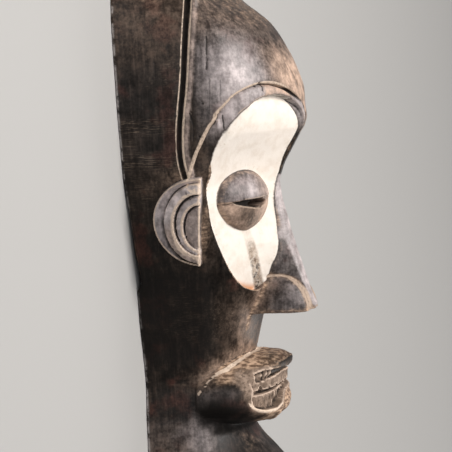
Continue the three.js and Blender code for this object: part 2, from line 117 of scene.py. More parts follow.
# Outlines on the front of the mask's own left side
BROW_EDGE = [(96, 30), (97, 50), (96, 66), (89, 76), (80.8, 81.5), (77, 88.7), (72.7, 95.8),
             (67.5, 100), (61.4, 102.8), (54.3, 104.2), (46.3, 104), (37.4, 102.2), (27.3, 98.7),
             (17.8, 93.8), (10, 88.9), (3, 83), (3, 60), (14, 34), (50, 27), (78, 26)]
BROW_SIDE = [(30, 52.5), (38.4, 54.2), (48.8, 57.6), (58.9, 62.4), (72.2, 69.6), (81.9, 76), (90, 76.5)]
SOCKET_EDGE = [(78, 42), (78, 52), (77, 62), (74.5, 73), (70, 81), (63, 88), (54, 93), (42, 95),
               (28, 93), (17, 88), (8, 81), (4, 71), (3, 58), (3, 44), (3.4, 30), (6, 20), (9, 10),
               (11, -8), (14, -24), (16, -40), (18.5, -53), (25, -58.5), (34, -57.5), (43, -53),
               (51, -42), (60, -23), (66, -5), (70, 12), (74.5, 30)]

# The camera of the photograph
LIFT = math.radians(15.0)
PITCH = math.radians(5.0)
ROLL = math.radians(3.64)
DISTANCE = 2200.0
AIM = (0.0, -10.0, 57.4)
HALF_FIELD = 180.8


def along(stations):
    """A smooth value between stations, without overshoot."""
    rows = np.array(sorted(stations), dtype=float)
    at, size = rows[:, 0], rows[:, 1]
    gaps = np.diff(at)
    rates = np.diff(size) / gaps
    steep = np.zeros(len(at))
    both = rates[:-1] * rates[1:]
    same = both > 0
    steep[1:-1][same] = 2 * both[same] / (rates[:-1] + rates[1:])[same]

    def value(y):
        y = np.clip(y, at[0], at[-1])
        i = np.clip(np.searchsorted(at, y, side="right") - 1, 0, len(gaps) - 1)
        t = (y - at[i]) / gaps[i]
        rise = size[i + 1] - size[i]
        a = steep[i] * gaps[i] - rise
        b = rise - steep[i + 1] * gaps[i]
        return size[i] + t * rise + t * (1 - t) * ((1 - t) * a + t * b)

    return value


rim_half, rim_lift = along(RIM_HALF), along(RIM_LIFT)
edge_half, edge_rise = along(EDGE_HALF), along(EDGE_RISE)
midline, bulge_power, bulge_root = along(MIDLINE), along(BULGE_POWER), along(BULGE_ROOT)
hollow_rise, brow_side = along(HOLLOW_RISE), along(BROW_SIDE)
socket_rise, socket_slope = along(SOCKET_RISE), along(SOCKET_SLOPE)
nose_rise = along(NOSE_RISE)
nose_ridge_half, nose_base_half = along(NOSE_RIDGE_HALF), along(NOSE_BASE_HALF)
muzzle_half, muzzle_rise = along(MUZZLE_HALF), along(MUZZLE_RISE)

# The grid of one half of the mask: x is the distance from the middle
X = (np.arange(117) * CELL).astype(np.float32)
Y = (-235.2 + np.arange(576) * CELL).astype(np.float32)
Z = (-2.4 + np.arange(168) * CELL).astype(np.float32)
SIDE_TO_SIDE = np.concatenate([-X[:0:-1], X])


def ease(value, low, high):
    """Goes softly from 0 at the first number to 1 at the second."""
    t = np.clip((value - low) / (high - low), 0, 1)
    return t * t * (3 - 2 * t)


def hill(value, middle, reach):
    """A soft hill, 1 at its middle."""
    return np.exp(-((value - middle) / reach) ** 2)


def most(a, b, blend):
    """The larger value, rounded where the two are close."""
    near = np.maximum(blend - np.abs(a - b), 0)
    return np.maximum(a, b) + near * near / (4 * blend)


def least(a, b, blend):
    return -most(-a, -b, blend)


def box(x_from, x_to, y_from, y_to, z_from, z_to, xs=X):
    """A box of the grid, and the coordinates in it shaped to combine."""
    cut = []
    for axis, low, high in ((xs, x_from, x_to), (Y, y_from, y_to), (Z, z_from, z_to)):
        i = int(np.searchsorted(axis, low))
        j = int(np.searchsorted(axis, high, side="right"))
        cut.append(slice(i, max(j, i + 2)))
    a, b, c = cut
    return tuple(cut), xs[a][:, None, None], Y[b][None, :, None], Z[c][None, None, :]


def take_out(field, cut, hole, blend):
    """Carves a hole out of the field in a box of the grid."""
    field[cut] = most(field[cut], -hole.astype(np.float32), blend)


def put_on(field, cut, form, blend):
    """Adds a form to the field in a box of the grid."""
    field[cut] = least(field[cut], form.astype(np.float32), blend)


def soft_noise(points, size, seed):
    """Soft random bumps over points, between -1 and 1."""
    lattice = np.random.RandomState(seed).uniform(-1, 1, (32, 32, 32)).astype(np.float32)
    p = points / size
    base = np.floor(p).astype(int)
    f = p - base
    f = f * f * (3 - 2 * f)
    total = 0
    for corner in range(8):
        step = np.array([corner & 1, corner >> 1 & 1, corner >> 2 & 1])
        share = np.prod(np.where(step == 1, f, 1 - f), axis=-1)
        i = (base + step) % 32
        total = total + share * lattice[i[..., 0], i[..., 1], i[..., 2]]
    return total


def curve_through(points, closed, steps=8):
    """Points on a smooth curve through a few points."""
    p = np.array(points, dtype=float)
    p = np.vstack([p[-1:], p, p[:2]] if closed else [p[:1], p, p[-1:]])
    t = (np.arange(steps) / steps)[:, None]
    out = []
    for a, b, c, d in zip(p[:-3], p[1:-2], p[2:-1], p[3:]):
        bend = (2 * a - 5 * b + 4 * c - d) * t ** 2
        out.append(0.5 * (2 * b + (c - a) * t + bend + (3 * b - a - 3 * c + d) * t ** 3))
    return np.vstack(out if closed else out + [p[-1:]])


def thread(x, y, z, line):
    """Distance from points to a line of straight pieces in space."""
    far = 1e9
    for a, b in zip(np.array(line[:-1], dtype=float), np.array(line[1:], dtype=float)):
        d = b - a
        t = np.clip(((x - a[0]) * d[0] + (y - a[1]) * d[1] + (z - a[2]) * d[2]) / (d @ d + 1e-9), 0, 1)
        far = np.minimum(far, (x - a[0] - t * d[0]) ** 2 + (y - a[1] - t * d[1]) ** 2
                         + (z - a[2] - t * d[2]) ** 2)
    return np.sqrt(far)


def line_distance(px, py, line):
    """Distance from points to a line in the plane."""
    return thread(px, py, 0, [(x, y, 0) for x, y in line])


def outline_distance(points):
    """Signed distance to a closed outline over the x, y grid, negative inside."""
    ring = curve_through(points, True)
    ring = np.vstack([ring, ring[:1]])
    px, py = X[:, None], Y[None, :]
    far = line_distance(px, py, ring)
    inside = np.zeros(far.shape, dtype=bool)
    for (ax, ay), (bx, by) in zip(ring[:-1], ring[1:]):
        if ay == by:
            continue
        crosses = (ay > py) != (by > py)
        inside ^= crosses & (px < ax + (bx - ax) * (py - ay) / (by - ay))
    return np.where(inside, -far, far).astype(np.float32)


def tube(points, radius, reach=6.0):
    """Distance to a round bar along a line in space, over the whole grid."""
    out = np.full((len(X), len(Y), len(Z)), 50, dtype=np.float32)
    for a, b in zip(points[:-1], points[1:]):
        low, high = np.minimum(a, b) - reach, np.maximum(a, b) + reach
        cut, x, y, z = box(low[0], high[0], low[1], high[1], low[2], high[2])
        out[cut] = np.minimum(out[cut], thread(x, y, z, [a, b]) - radius)
    return out


def front_height():
    """Height of the front over the x, y grid, before any carving."""
    t = np.minimum(X[:, None] / edge_half(Y)[None], 1)
    arch = (1 - t ** bulge_power(Y)[None]) ** bulge_root(Y)[None]
    return edge_rise(Y)[None] + (midline(Y) - edge_rise(Y))[None] * arch


def vault(across, high):
    """Distance to a vaulted form, from how far across and how high each place is, near its surface."""
    gx, gy = np.gradient(across, CELL)
    hy, hz = np.gradient(high, CELL)
    level = (across[:, :, None] + high[None] - 1).astype(np.float32)
    steep = np.sqrt(gx[:, :, None] ** 2 + hz[None] ** 2 + (gy[:, :, None] + hy[None]) ** 2)
    return level / np.maximum(steep, GENTLEST).astype(np.float32)


def block():
    """The block of the mask: steep sides from the rim to an edge, and a bulging front."""
    edge, rise, lift = edge_half(Y), edge_rise(Y), rim_lift(Y)
    across = (X[:, None] / edge[None]) ** bulge_power(Y)[None]
    high = np.clip((Z[None] - rise[:, None]) / (midline(Y) - rise)[:, None], 0, None)
    bulge = vault(across, high ** (1 / bulge_root(Y))[:, None])
    share = np.clip((Z[None] - lift[:, None]) / (rise - lift)[:, None], 0, 1)
    fullness = 1 + np.clip((Y - CROWN_TURN.start) / CROWN_TURN.run, 0, 1)
    wall = rim_half(Y)[:, None] - (rim_half(Y) - edge)[:, None] * share ** fullness[:, None]
    wy, wz = np.gradient(wall, CELL)
    side = (X[:, None, None] - wall[None]) / np.sqrt(1 + wy ** 2 + wz ** 2)[None]
    out = np.where(Z[None, None, :] > rise[None, :, None], bulge, side).astype(np.float32)
    out = most(out, (lift[:, None] - Z[None]).astype(np.float32)[None], 2.0)
    return most(out, np.maximum(BEARD_Y - Y, Y - CROWN_Y).astype(np.float32)[None, :, None], 2.0)


def room():
    """The hollow for a face, open at the back, its wall marked by a gouge."""
    reach = np.maximum(rim_half(Y) - WALL, 4.0)
    across = (X[:, None] / reach[None]) ** ROOM.power
    top = hollow_rise(Y)
    high = (np.maximum(Z, 0)[None] / top[:, None]) ** ROOM.power
    past_top = (Z[None] - top[:, None]) / np.sqrt(1 + np.gradient(top, CELL) ** 2)[:, None]
    past_side = (X[:, None] - reach[None]) / np.sqrt(1 + np.gradient(reach, CELL) ** 2)[None]
    past = np.maximum(past_top[None], past_side[:, :, None]).astype(np.float32)
    out = np.maximum(vault(across, high), past)
    turn = np.arctan2(Z[None, :], X[:, None])
    row = turn * GOUGE.rows + 0.5
    shift = np.floor(row) * GOUGE.shift
    cup = (np.abs(row - np.floor(row) - 0.5) * 2) ** 2
    stroke = Y[None, :, None] / GOUGE.stroke + shift[:, None, :]
    cup = cup[:, None, :] + (np.abs(stroke - np.floor(stroke) - 0.5) * 2) ** 4
    marks = (GOUGE.deep * cup - GOUGE.lift).astype(np.float32)
    out = out + marks * ease(Z, 6, 20)[None, None, :].astype(np.float32)
    return np.maximum(out, np.maximum(Y - ROOM.top, ROOM.foot - Y)[None, :, None].astype(np.float32))


def forehead_cut(field, brow, socket):
    """Cuts the groove under the sharp lower edge of the forehead, and the raised band below it."""
    cut, x, y, z = box(0, 92, 20, 112, 40, 134)
    step = ease(x, 3, 28) * ease(y, 28, 54)
    edge_in = np.minimum(-brow[cut[0], cut[1]][:, :, None], SIDE_LEAN * (z - brow_side(y)))
    white_out = np.maximum(socket[cut[0], cut[1]][:, :, None], 0)
    share = np.clip(edge_in / (edge_in + white_out + 1e-3), 0, 1)
    hollow = BROW_DROP * (1 - 0.3 * share)
    raised = BROW_LOW.band + (BROW_DROP - BROW_LOW.band) * (1 - ease(edge_in, 1.3, 2.7))
    raised = raised + 0.9 * hill(white_out, 0.6, 0.8)
    band = ease(BROW_LOW.band_end - x, -0.6, 0.6)
    depth = step * (hollow + (raised - hollow) * band) + BROW_LOW.inner
    hole = np.maximum(-edge_in, -(field[cut] + depth))
    take_out(field, cut, hole, 0.6)


def socket_floor(front):
    """The floor of the whitened eye socket over the x, y grid, a dish that falls from the nose."""
    away = X[:, None] - SOCKET_SPAN.start
    share = away / SOCKET_SPAN.wide
    dish = socket_rise(Y)[None] - socket_slope(Y)[None] * away - SOCKET_DIP * share * (1 - share)
    return np.minimum(dish, front - 1).astype(np.float32)


def socket_cut(field, socket, floor):
    cut, x, y, z = box(0, 92, -66, 100, 40, 134)
    low = floor[cut[0], cut[1]]
    gx, gy = np.gradient(low, CELL)
    lean = np.sqrt(1 + np.minimum(gx ** 2 + gy ** 2, STEEPEST))[:, :, None]
    hole = np.maximum(socket[cut[0], cut[1]][:, :, None], (low[:, :, None] - z) / lean)
    take_out(field, cut, hole, 0.8)


def eye_frame(x, y, z):
    """Coordinates of the eye: across it, up it and out of it."""
    angle = math.atan(EYE.slope)
    across = (x - EYE.x) * math.cos(angle) - (z - EYE.z) * math.sin(angle)
    out = (x - EYE.x) * math.sin(angle) + (z - EYE.z) * math.cos(angle)
    return across, y - EYE.y, out


def swelling(u, v, w, a, b, c, power=2.0):
    """Distance to a swollen oval, near its surface."""
    u, v, w = np.abs(u / a) + 1e-6, np.abs(v / b) + 1e-6, np.abs(w / c) + 1e-6
    level = u ** power + v ** power + w ** 2 - 1
    steep = np.sqrt((power * u ** (power - 1) / a) ** 2 + (power * v ** (power - 1) / b) ** 2
                    + (2 * w / c) ** 2)
    return level / np.maximum(steep, 0.02)


lens_edge = along([(-28, 0.4), (-20, -4.5), (-11, -7.2), (0, -5.6), (12, -3.0), (21, 0.4)])
lid_line = along([(-29, 1.6), (-10, 0.8), (8, 0.6), (29, -1.2)])


def eyes(field):
    cut, x, y, z = box(2, 74, -16, 44, 50, 112)
    u, v, w = eye_frame(x, y, z)
    line = lid_line(u)
    upper = swelling(u, v, w, EYE.across, EYE.tall, EYE.proud)
    upper = most(upper, line - v, 1.0)
    lower = swelling(u, v, w, EYE.across - 0.6, EYE.tall + 0.6, EYE.proud - 2.0, 1.7)
    lower = np.maximum(lower, v - line - 1)
    ball = swelling(u, v, w, EYE.across - 3, 13, EYE.proud - 4.4)
    gap = np.maximum(lens_edge(u) - v, v - line)
    lower = most(lower, -np.maximum(gap, np.maximum(-14.5 - u, u - 21)), 0.5)
    lids = np.minimum(np.minimum(upper, lower), ball)
    put_on(field, cut, lids, 0.8)


def slits(field):
    cut, x, y, z = box(14, 56, 4, 18, 30, 112)
    hole = np.hypot((x - SLIT.x) / SLIT.half, (y - SLIT.y) / SLIT.tall) - 1
    take_out(field, cut, hole * SLIT.tall + 0 * z, 0.5)


WING_ARCH = [(-50.5, 88), (-49.3, 96), (-49.7, 104), (-53, 112.5), (-60, 119.5), (-68.5, 123.6),
             (-76, 125.4), (-80, 125.8)]


def nose(field):
    cut, x, y, z = box(0, 40, -84, 40, 50, 131)
    py, px = Y[cut[1]][None, :], X[cut[0]][:, None]
    top, ridge, base = nose_rise(py), nose_ridge_half(py) + 1.2, nose_base_half(py)
    foot = socket_rise(py) - socket_slope(py) * (base - SOCKET_SPAN.start)
    fall = np.clip((top - 3 - foot) / (base - ridge), 0.9, 8)
    cap = top - 3 * np.clip(px / ridge, 0, 1) ** 2.4
    high = cap - np.maximum(px - ridge, 0) * fall
    gx, gy = np.gradient(high, CELL)
    whole = (z - high[:, :, None]) / np.sqrt(1 + np.minimum(gx ** 2 + gy ** 2, STEEPEST))[:, :, None]
    for drop, wide in ((0, 0), (17, -1)):
        wing = swelling(x - WING.x, y - NOSE_UNDER, z - WING.z + drop,
                        WING.across + wide, WING.tall + 2 * wide, WING.deep)
        whole = least(whole, wing, 2.5)
    away = line_distance(y[0], z[0], curve_through(WING_ARCH, False))[None]
    whole = whole + hill(away, 0, 1.1) * ease(x, 3, 7)
    whole = most(whole, np.maximum(NOSE_UNDER - y, y - NOSE_TOP), 1.2)
    nostril = swelling(x - 12, y - NOSE_UNDER, z - 106, 5.0, 6.0, 9.0)
    whole = most(whole, -nostril, 1.0)
    put_on(field, cut, whole, 1.2)


mouth_top = along([(0, -123), (14, -122), (36, -121.7), (43, -123), (47, -128)])
mouth_rim = along([(-54, -138), (-51.5, -147), (-44.5, -152), (-36, -153.8), (-24, -154), (-14, -152),
                   (-6, -148.5), (2, -145), (14, -143), (34, -142), (46, -140.5), (54, -137)])
band_top = along([(0, -127), (18, -128), (30, -129), (50, -131.5)])
BAND_LOW = [(4, 1.5), (17, 2.6), (31, 2.2), (41, 2.8)]
TOOTH_GAPS = (30.5, 34.0, 37.8)
POST = 49.4


def mouth_depth(x, y):
    """How deep the mouth is carved below the face of the muzzle, over x and y."""
    out = np.abs(x)
    top, rim = mouth_top(out) + 0 * y, mouth_rim(x) + 0 * y
    corner = 44.6 + (POST - 44.6) * ease(y, -131, -133) + 20 * ease(x, 10, 30) * ease(y, -134, -136)
    inside = np.minimum(np.minimum(top - y, y - rim), corner - out)
    flat = np.stack(np.broadcast_arrays(x, 0.5 * y, 0), axis=-1).astype(np.float32)
    lumps = soft_noise(flat, 2.4, SEED + 4)
    teeth = 1.6 + 1.0 * ease(out, 31, 28) + 0.15 * lumps
    for gap in TOOTH_GAPS:
        teeth = teeth + 1.1 * hill(out, gap, 0.75)
    low_edge = -137.2 + 0 * x
    for at, tall in BAND_LOW:
        low_edge = low_edge + tall * hill(out, at, 1.7)
    low_edge = low_edge + 0.9 * lumps
    band = 0.5 + 0.5 * lumps
    gum = 4.0 - 1.3 * ease(y, -152, -142) + 1.2 * np.exp(-((y - rim - 2.5) / 2.0) ** 2) + 1.1 * lumps
    depth = np.where(y > band_top(out), teeth, np.where(y > low_edge, band, np.where(y > -140.8, 6.5, gum)))
    lip = 0.8 * np.exp(-((y - rim + 1.2) / 1.6) ** 2) * ease(out, 52, 48)
    return depth * ease(inside, 0, 1.1) - lip * (0.7 + 0.5 * lumps)


def muzzle(field):
    cut, x, y, z = box(0, 64, -172, -104, 28, 106)
    wide, high = muzzle_half(Y[cut[1]])[None, :, None], muzzle_rise(Y[cut[1]])[None, :, None]
    up = np.maximum(z - MUZZLE_FOOT, 0) / (high - MUZZLE_FOOT)
    level = ((x / wide) ** MUZZLE_POWER + up ** MUZZLE_POWER + 1e-9) ** (1 / MUZZLE_POWER) - 1
    steep = np.sqrt(sum(g ** 2 for g in np.gradient(level, CELL)))
    whole = level / np.maximum(steep, 0.008)
    whole = most(whole, np.maximum(y + 111, -167 - y), 1.5)
    whole = most(whole, MUZZLE_FOOT + 1.5 - z, 4.0)
    points = np.stack(np.broadcast_arrays(0.45 * x, y, 0.45 * z), axis=-1).astype(np.float32)
    chips = np.abs(soft_noise(points, 4.2, SEED)) + 0.7 * np.abs(soft_noise(points, 2.0, SEED + 1))
    rough = ease(y, -128, -122) * ease(z, 56, 64) * (1 - 0.6 * ease(x, 24, 14))
    whole = whole + 1.2 * chips * rough
    put_on(field, cut, whole, 1.0)


def mouth(field):
    """Opens the toothed mouth in the face of the muzzle, over the whole grid."""
    cut, x, y, z = box(-58, 66, -170, -112, 60, 106, SIDE_TO_SIDE)
    field[cut] += (mouth_depth(x[:, :, 0], y[:, :, 0])[:, :, None] * ease(z, 66, 74)).astype(np.float32)
    post = np.exp(-((np.abs(x) - POST) / 1.0) ** 2) * ease(y, -142, -140) * ease(y, -129, -131)
    field[cut] -= (0.9 * post * ease(z, 64, 70)).astype(np.float32)


# The rings of an ear, outermost first: half depth, half height and how far its middle is dropped
EAR_RINGS = Named(outer=(37.4, 35, 0), ridge=(28.4, 31.6, 0.6), groove=(20.2, 24.6, 1.3),
                  step=(19.0, 23.2, 2.2), line=(13.0, 18.0, 3.5), boss=(11.9, 17.0, 4.3))


def ear_rings(x, y, z):
    """How far back and out a place is on the ear, and its distance to each ring, negative inside."""
    forward, outward = math.radians(EAR.forward), math.radians(EAR.outward)
    px, py, pz = x - EAR.x, y - EAR.y, z - EAR.z
    out = px * math.cos(outward) - py * math.sin(outward)
    level = px * math.sin(outward) + py * math.cos(outward)
    up = level * math.cos(forward) + pz * math.sin(forward)
    back = level * math.sin(forward) - pz * math.cos(forward)
    ring = Named()
    for name, (deep, tall, drop) in vars(EAR_RINGS).items():
        rise = up + drop
        reach = np.hypot(back, rise) + 1e-3
        setattr(ring, name, reach - reach / (np.hypot(back / deep, rise / tall) + 1e-6))
    return back, out, up, ring


def ears(field):
    """Nested half ellipses on the side of the head, their flat edge forward."""
    cut, x, y, z = box(52, 92.8, -40, 42, 12, 68)
    back, out, up, ring = ear_rings(x, y, z)
    scoop = np.clip(-ring.outer / 8.5, 0, 1)
    high = 5.4 - 5.6 * np.sin(scoop * 1.45)
    across = np.clip(-ring.ridge / 8.0, 0, 1)
    high = np.where(ring.ridge < 0, 7.0 + 1.3 * across, high)
    high = np.where(ring.groove < 0, 2.8, high)
    across = np.clip(-ring.step / 6.0, 0, 1)
    high = np.where(ring.step < 0, 5.8 + 1.2 * across, high)
    high = np.where(ring.line < 0, 2.6, high)
    high = np.where(ring.boss < 0, 4.8 + 0.6 * ease(ring.boss, 0, -8), high)
    whole = most(out - high, np.maximum(-back, ring.outer), 0.9)
    whole = np.maximum(whole, -out - 18)
    put_on(field, cut, whole, 0.7)


def headband_line(outward, lift):
    """A line beside the front edge of the sides, and over the crown to the middle."""
    points = []
    for y in np.linspace(HEADBAND.start, HEADBAND.shoulder, 14):
        points.append((float(edge_half(y)) + outward, y, float(edge_rise(y)) + lift))
    half = float(edge_half(HEADBAND.shoulder)) + outward
    tall = HEADBAND.crown - HEADBAND.shoulder + outward - HEADBAND.spread * lift
    for turn in np.linspace(0, math.pi / 2, 6)[1:]:
        x = half * max(math.cos(turn), 0) ** 0.8
        y = HEADBAND.shoulder + tall * math.sin(turn) ** 0.8
        points.append((x, y, HEADBAND.height + lift))
    points.append((-5.0, points[-1][1], points[-1][2]))
    return curve_through(points, False, 3)


def headband(field):
    field = least(field, tube(headband_line(*RIDGE), 2.9), 0.5)
    return most(field, -tube(headband_line(*GROOVE), 2.4), 0.5)


def carve_half():
    front = front_height()
    brow, socket = outline_distance(BROW_EDGE), outline_distance(SOCKET_EDGE)
    floor = socket_floor(front)
    field = block()
    forehead_cut(field, brow, socket)
    field = headband(field)
    socket_cut(field, socket, floor)
    eyes(field)
    ears(field)
    nose(field)
    muzzle(field)
    field = most(field, -room(), 1.0)
    slits(field)
    return field, brow, socket


def averaged(field):
    """A field averaged with the next values along each axis. It has to be alike at its ends."""
    for axis in range(3):
        field = (np.roll(field, 1, axis) + field + np.roll(field, -1, axis)) / 3
    return field


def skin(field):
    """A mesh of four-sided faces over the surface where the field is zero."""
    inside = field < 0
    count = np.zeros(tuple(n - 1 for n in field.shape), dtype=np.uint8)
    corners = [(i, j, k) for i in (0, 1) for j in (0, 1) for k in (0, 1)]
    nx, ny, nz = count.shape
    for i, j, k in corners:
        count += inside[i:i + nx, j:j + ny, k:k + nz]
    active = (count > 0) & (count < 8)
    cells = np.argwhere(active)
    index = np.full(count.shape, -1, dtype=np.int32)
    index[active] = np.arange(len(cells))
    spots, hits = np.zeros((len(cells), 3)), np.zeros(len(cells))
    for a in corners:
        for axis in range(3):
            if a[axis]:
                continue
            b = list(a)
            b[axis] = 1
            fa, fb = (field[tuple((cells + c).T)] for c in (a, b))
            crossing = (fa < 0) != (fb < 0)
            t = fa[crossing] / (fa[crossing] - fb[crossing])
            spot = np.repeat(np.array([a], dtype=float), len(t), axis=0)
            spot[:, axis] = t
            spots[crossing] += spot
            hits[crossing] += 1
    spots = cells + spots / hits[:, None]
    faces = []
    for axis in range(3):
        u, v = (axis + 1) % 3, (axis + 2) % 3
        n = field.shape
        low = [slice(1, n[k] - 1) for k in range(3)]
        high = [slice(1, n[k] - 1) for k in range(3)]
        low[axis], high[axis] = slice(0, n[axis] - 1), slice(1, n[axis])
        first, second = inside[tuple(low)], inside[tuple(high)]
        at = np.argwhere(first != second)
        out = first[tuple(at.T)]
        at = at + np.array([0 if k == axis else 1 for k in range(3)])
        quad = []
        for du, dv in ((-1, -1), (0, -1), (0, 0), (-1, 0)):
            c = at.copy()
            c[:, u] += du
            c[:, v] += dv
            quad.append(index[tuple(c.T)])
        quad = np.stack(quad, axis=1)
        quad[~out] = quad[~out][:, ::-1]
        faces.append(quad)
    return spots, np.concatenate(faces)


def sample(field, at):
    """Field values between grid points; at is in grid steps."""
    at = np.clip(at, 0, np.array(field.shape) - 1.001)
    base = at.astype(int)
    f = at - base
    total = 0
    for corner in range(2 ** field.ndim):
        step = np.array([corner >> k & 1 for k in range(field.ndim)])
        share = np.prod(np.where(step == 1, f, 1 - f), axis=1)
        total = total + share * field[tuple((base + step).T)]
    return total


def relaxed(spots, faces, rounds):
    """Evens out the steps of the grid without shrinking the form."""
    edges = np.concatenate([faces[:, [i, (i + 1) % 4]] for i in range(4)])
    count = np.bincount(edges[:, 0], minlength=len(spots))[:, None]
    count = np.maximum(count, 1)
    for strength in (0.5, -0.53) * rounds:
        total = [np.bincount(edges[:, 0], spots[edges[:, 1], k], len(spots)) for k in range(3)]
        spots = spots + strength * (np.stack(total, 1) / count - spots)
    return spots


def grid_steps(points):
    return (points - np.array([-X[-1], Y[0], Z[0]])) / CELL


def build_mask():
    half, brow, socket = carve_half()
    field = np.concatenate([half[:0:-1], half])
    mouth(field)
    side_marks(field)
    solid = np.clip(0.5 - field / CELL, 0, 1)
    close = averaged(averaged(solid))
    spots, faces = skin(field)
    spots = relaxed(spots, faces, 2)
    sharp = np.abs(0.5 - sample(close, spots)) > SHARP
    spots = spots * CELL + np.array([-X[-1], Y[0], Z[0]])
    mesh = bpy.data.meshes.new("mask_wood")
    mesh.from_pydata(spots * MM, [], faces)
    mesh.shade_smooth()
    piece = bpy.data.objects.new("mask_wood", mesh)
    bpy.context.scene.collection.objects.link(piece)
    free = piece.vertex_groups.new(name="free")
    free.add(np.flatnonzero(~sharp).tolist(), 1.0, "REPLACE")
    thin = piece.modifiers.new("thin", "DECIMATE")
    thin.vertex_group = "free"
    thin.ratio = min(1.0, TRIANGLES / (2 * len(faces)))
    shown = piece.evaluated_get(bpy.context.evaluated_depsgraph_get())
    light = bpy.data.meshes.new_from_object(shown)
    piece.modifiers.clear()
    piece.vertex_groups.clear()
    piece.data = light
    bpy.data.meshes.remove(mesh)
    dress(light, close, brow, socket)
    return piece


# Cracks and worn grooves on the mask's own right side: points, width, depth and darkness
CRACKS = [
    ([(-72.9, 143.3, 71.0), (-75.7, 131.1, 71.0), (-77.9, 118.9, 70.8)], 1.0, 0.9, 0.9),
    ([(-78.6, 111.2, 72.8), (-80.3, 98.2, 72.4), (-81.8, 84.5, 71.9)], 0.7, 0.4, 0.45),
    ([(-75.8, 109.1, 80.7), (-77.6, 96.9, 80.4), (-76.1, 84.6, 79.2)], 0.7, 0.4, 0.4),
    ([(-84.1, 85.4, 56.7), (-84.4, 79.9, 58.8), (-84.8, 72.2, 59.2), (-85.1, 64.6, 58.7)], 1.0, 1.1, 0.85),
    ([(-75.8, 82.2, 80.5), (-75.4, 75.2, 80.8), (-74.1, 68.2, 80.7)], 0.9, 1.2, 0.9),
    ([(-51.0, 103.0, 105.8), (-52.0, 99.5, 107.2), (-50.3, 95.5, 107.6)], 0.9, 1.0, 0.9),
    ([(-4.2, 131.6, 111.5), (-11.0, 124.0, 115.5), (-17.9, 104.0, 121.9)], 1.8, 0.6, 0.3),
    ([(-11.5, 119.7, 117.4), (-7.7, 109.9, 121.5), (-3.1, 99.2, 124.6)], 1.8, 0.6, 0.3),
    ([(-91.0, 27.5, 50.0), (-85.5, 19.3, 53.4)], 0.8, 0.9, 0.5),
]
PITS = [(-82.3, 92.5, 67.0, 1.2), (-84.3, 67.4, 63.5, 1.1), (-55.8, 102.3, 102.2, 1.5),
        (-54.9, 104.4, 106.1, 1.5), (-89.0, 99.1, 3.7, 1.0)]
PIT_LENGTH = 0.1
SLIVER = [(-77.7, 78.5, 76.7), (-76.1, 66.0, 76.4)]
# The notch and the bar under the mouth: middle, half width, where they start and are full, and depth
NOTCHES = [(-5, 4.2, -157.5, -160, 3.0), (-14, 3.4, -157, -159, -0.8)]


def side_marks(field):
    """Notches, cracks and pits on one side only, over the whole grid."""
    for middle, half, start, full, deep in NOTCHES:
        cut, x, y, z = box(middle - 9, middle + 9, -172, -156, 60, 104, SIDE_TO_SIDE)
        mark = np.exp(-((x - middle) / half) ** 4) * ease(y, start, full)
        field[cut] += (deep * mark * ease(z, 82, 88)).astype(np.float32)
    lines = [crack[:3] for crack in CRACKS] + [(SLIVER, 1.3, -1.6)]
    lines += [([(a, b, c), (a, b, c + PIT_LENGTH)], wide, wide) for a, b, c, wide in PITS]
    for line, wide, deep in lines:
        low, high = np.min(line, axis=0) - 5, np.max(line, axis=0) + 5
        cut, x, y, z = box(low[0], high[0], low[1], high[1], low[2], high[2], SIDE_TO_SIDE)
        field[cut] += (deep * np.exp(-(thread(x, y, z, line) / wide) ** 2)).astype(np.float32)


TEAR = [(37, -10, 83), (34.2, -21.5, 85.6), (30.2, -35.4, 86.9), (25.7, -49.5, 87.3), (22.5, -61, 88.5)]
CREASE = [(0, -111, 76.5), (20, -111.5, 74), (33, -113.5, 71), (39, -116, 67), (44.5, -119, 63),
          (50, -121.5, 56), (54, -125, 51.5), (57, -129.5, 47.8), (60.3, -136, 42.5)]
CHEEK_LINE = [(19.9, -56.3, 91.6), (23.4, -68.4, 85.1), (25.2, -77.6, 80.1), (24.8, -83.2, 78),
              (25.5, -90, 76.5)]
bridge_gap = along([(12, 0), (36, 0.8), (48, 2.4), (66, 2.8), (76, 4.2), (88, 3.6), (100, 0)])

# Soft spots of painted sheen, tan film, dust and painted shade, alike on both sides: how much, the middle,
# and the reach each way
SPOTS = Named(
    polish=[(0.3, (22, -65, 116), (6, 7, 6)), (0.42, (58, -174, 42), (8, 18, 10)),
            (0.14, (60, -137, 58), (5, 5, 20))],
    bloom=[(0.7, (21.5, 8.5, 96.5), (5, 4.5, 5)), (0.34, (16, -88, 80), (16, 16, 8)),
           (0.28, (46, -146, 84), (8, 12, 10)), (0.14, (86, 30, 42), (10, 12, 18)),
           (0.08, (71, -8, 59), (6, 34, 6)), (0.05, (85, 38, 45), (12, 9, 14)),
           (0.11, (66, -190, 20), (14, 30, 22)), (0.14, (24, -96, 76), (26, 18, 14)),
           (0.10, (40, -72, 74), (12, 16, 10)), (0.10, (84, 48, 64), (8, 16, 8))],
    dust=[(0.3, (9, -9, 104), (3, 9, 4)), (0.50, (71, -8, 59), (6, 34, 6)),
          (0.3, (85, 38, 45), (12, 9, 14)), (0.32, (26, -182, 72), (18, 14, 20)),
          (0.15, (62, -160, 15), (14, 40, 16))],
    grime=[(0.7, (28, -192, 84), (18, 14, 16)), (0.75, (60, -142, 58), (8, 16, 14)),
           (0.6, (40, -186, 66), (12, 14, 14))],
)
# Painted shade in the notches under the mouth, the same way, on the mask's own right side only
NOTCH_PAINTED_SHADE = [(0.9, (-5, -162, 94), (3.4, 6, 12)), (0.6, (-21, -162, 92), (4, 6, 12))]


def near(points, centre, reach):
    """Soft spot around a point, 1 at its middle."""
    return np.exp(-(((points - np.array(centre)) / reach) ** 2).sum(axis=1))


def spotted(points, spots):
    """The sum of some soft spots."""
    return sum(much * near(points, centre, reach) for much, centre, reach in spots)


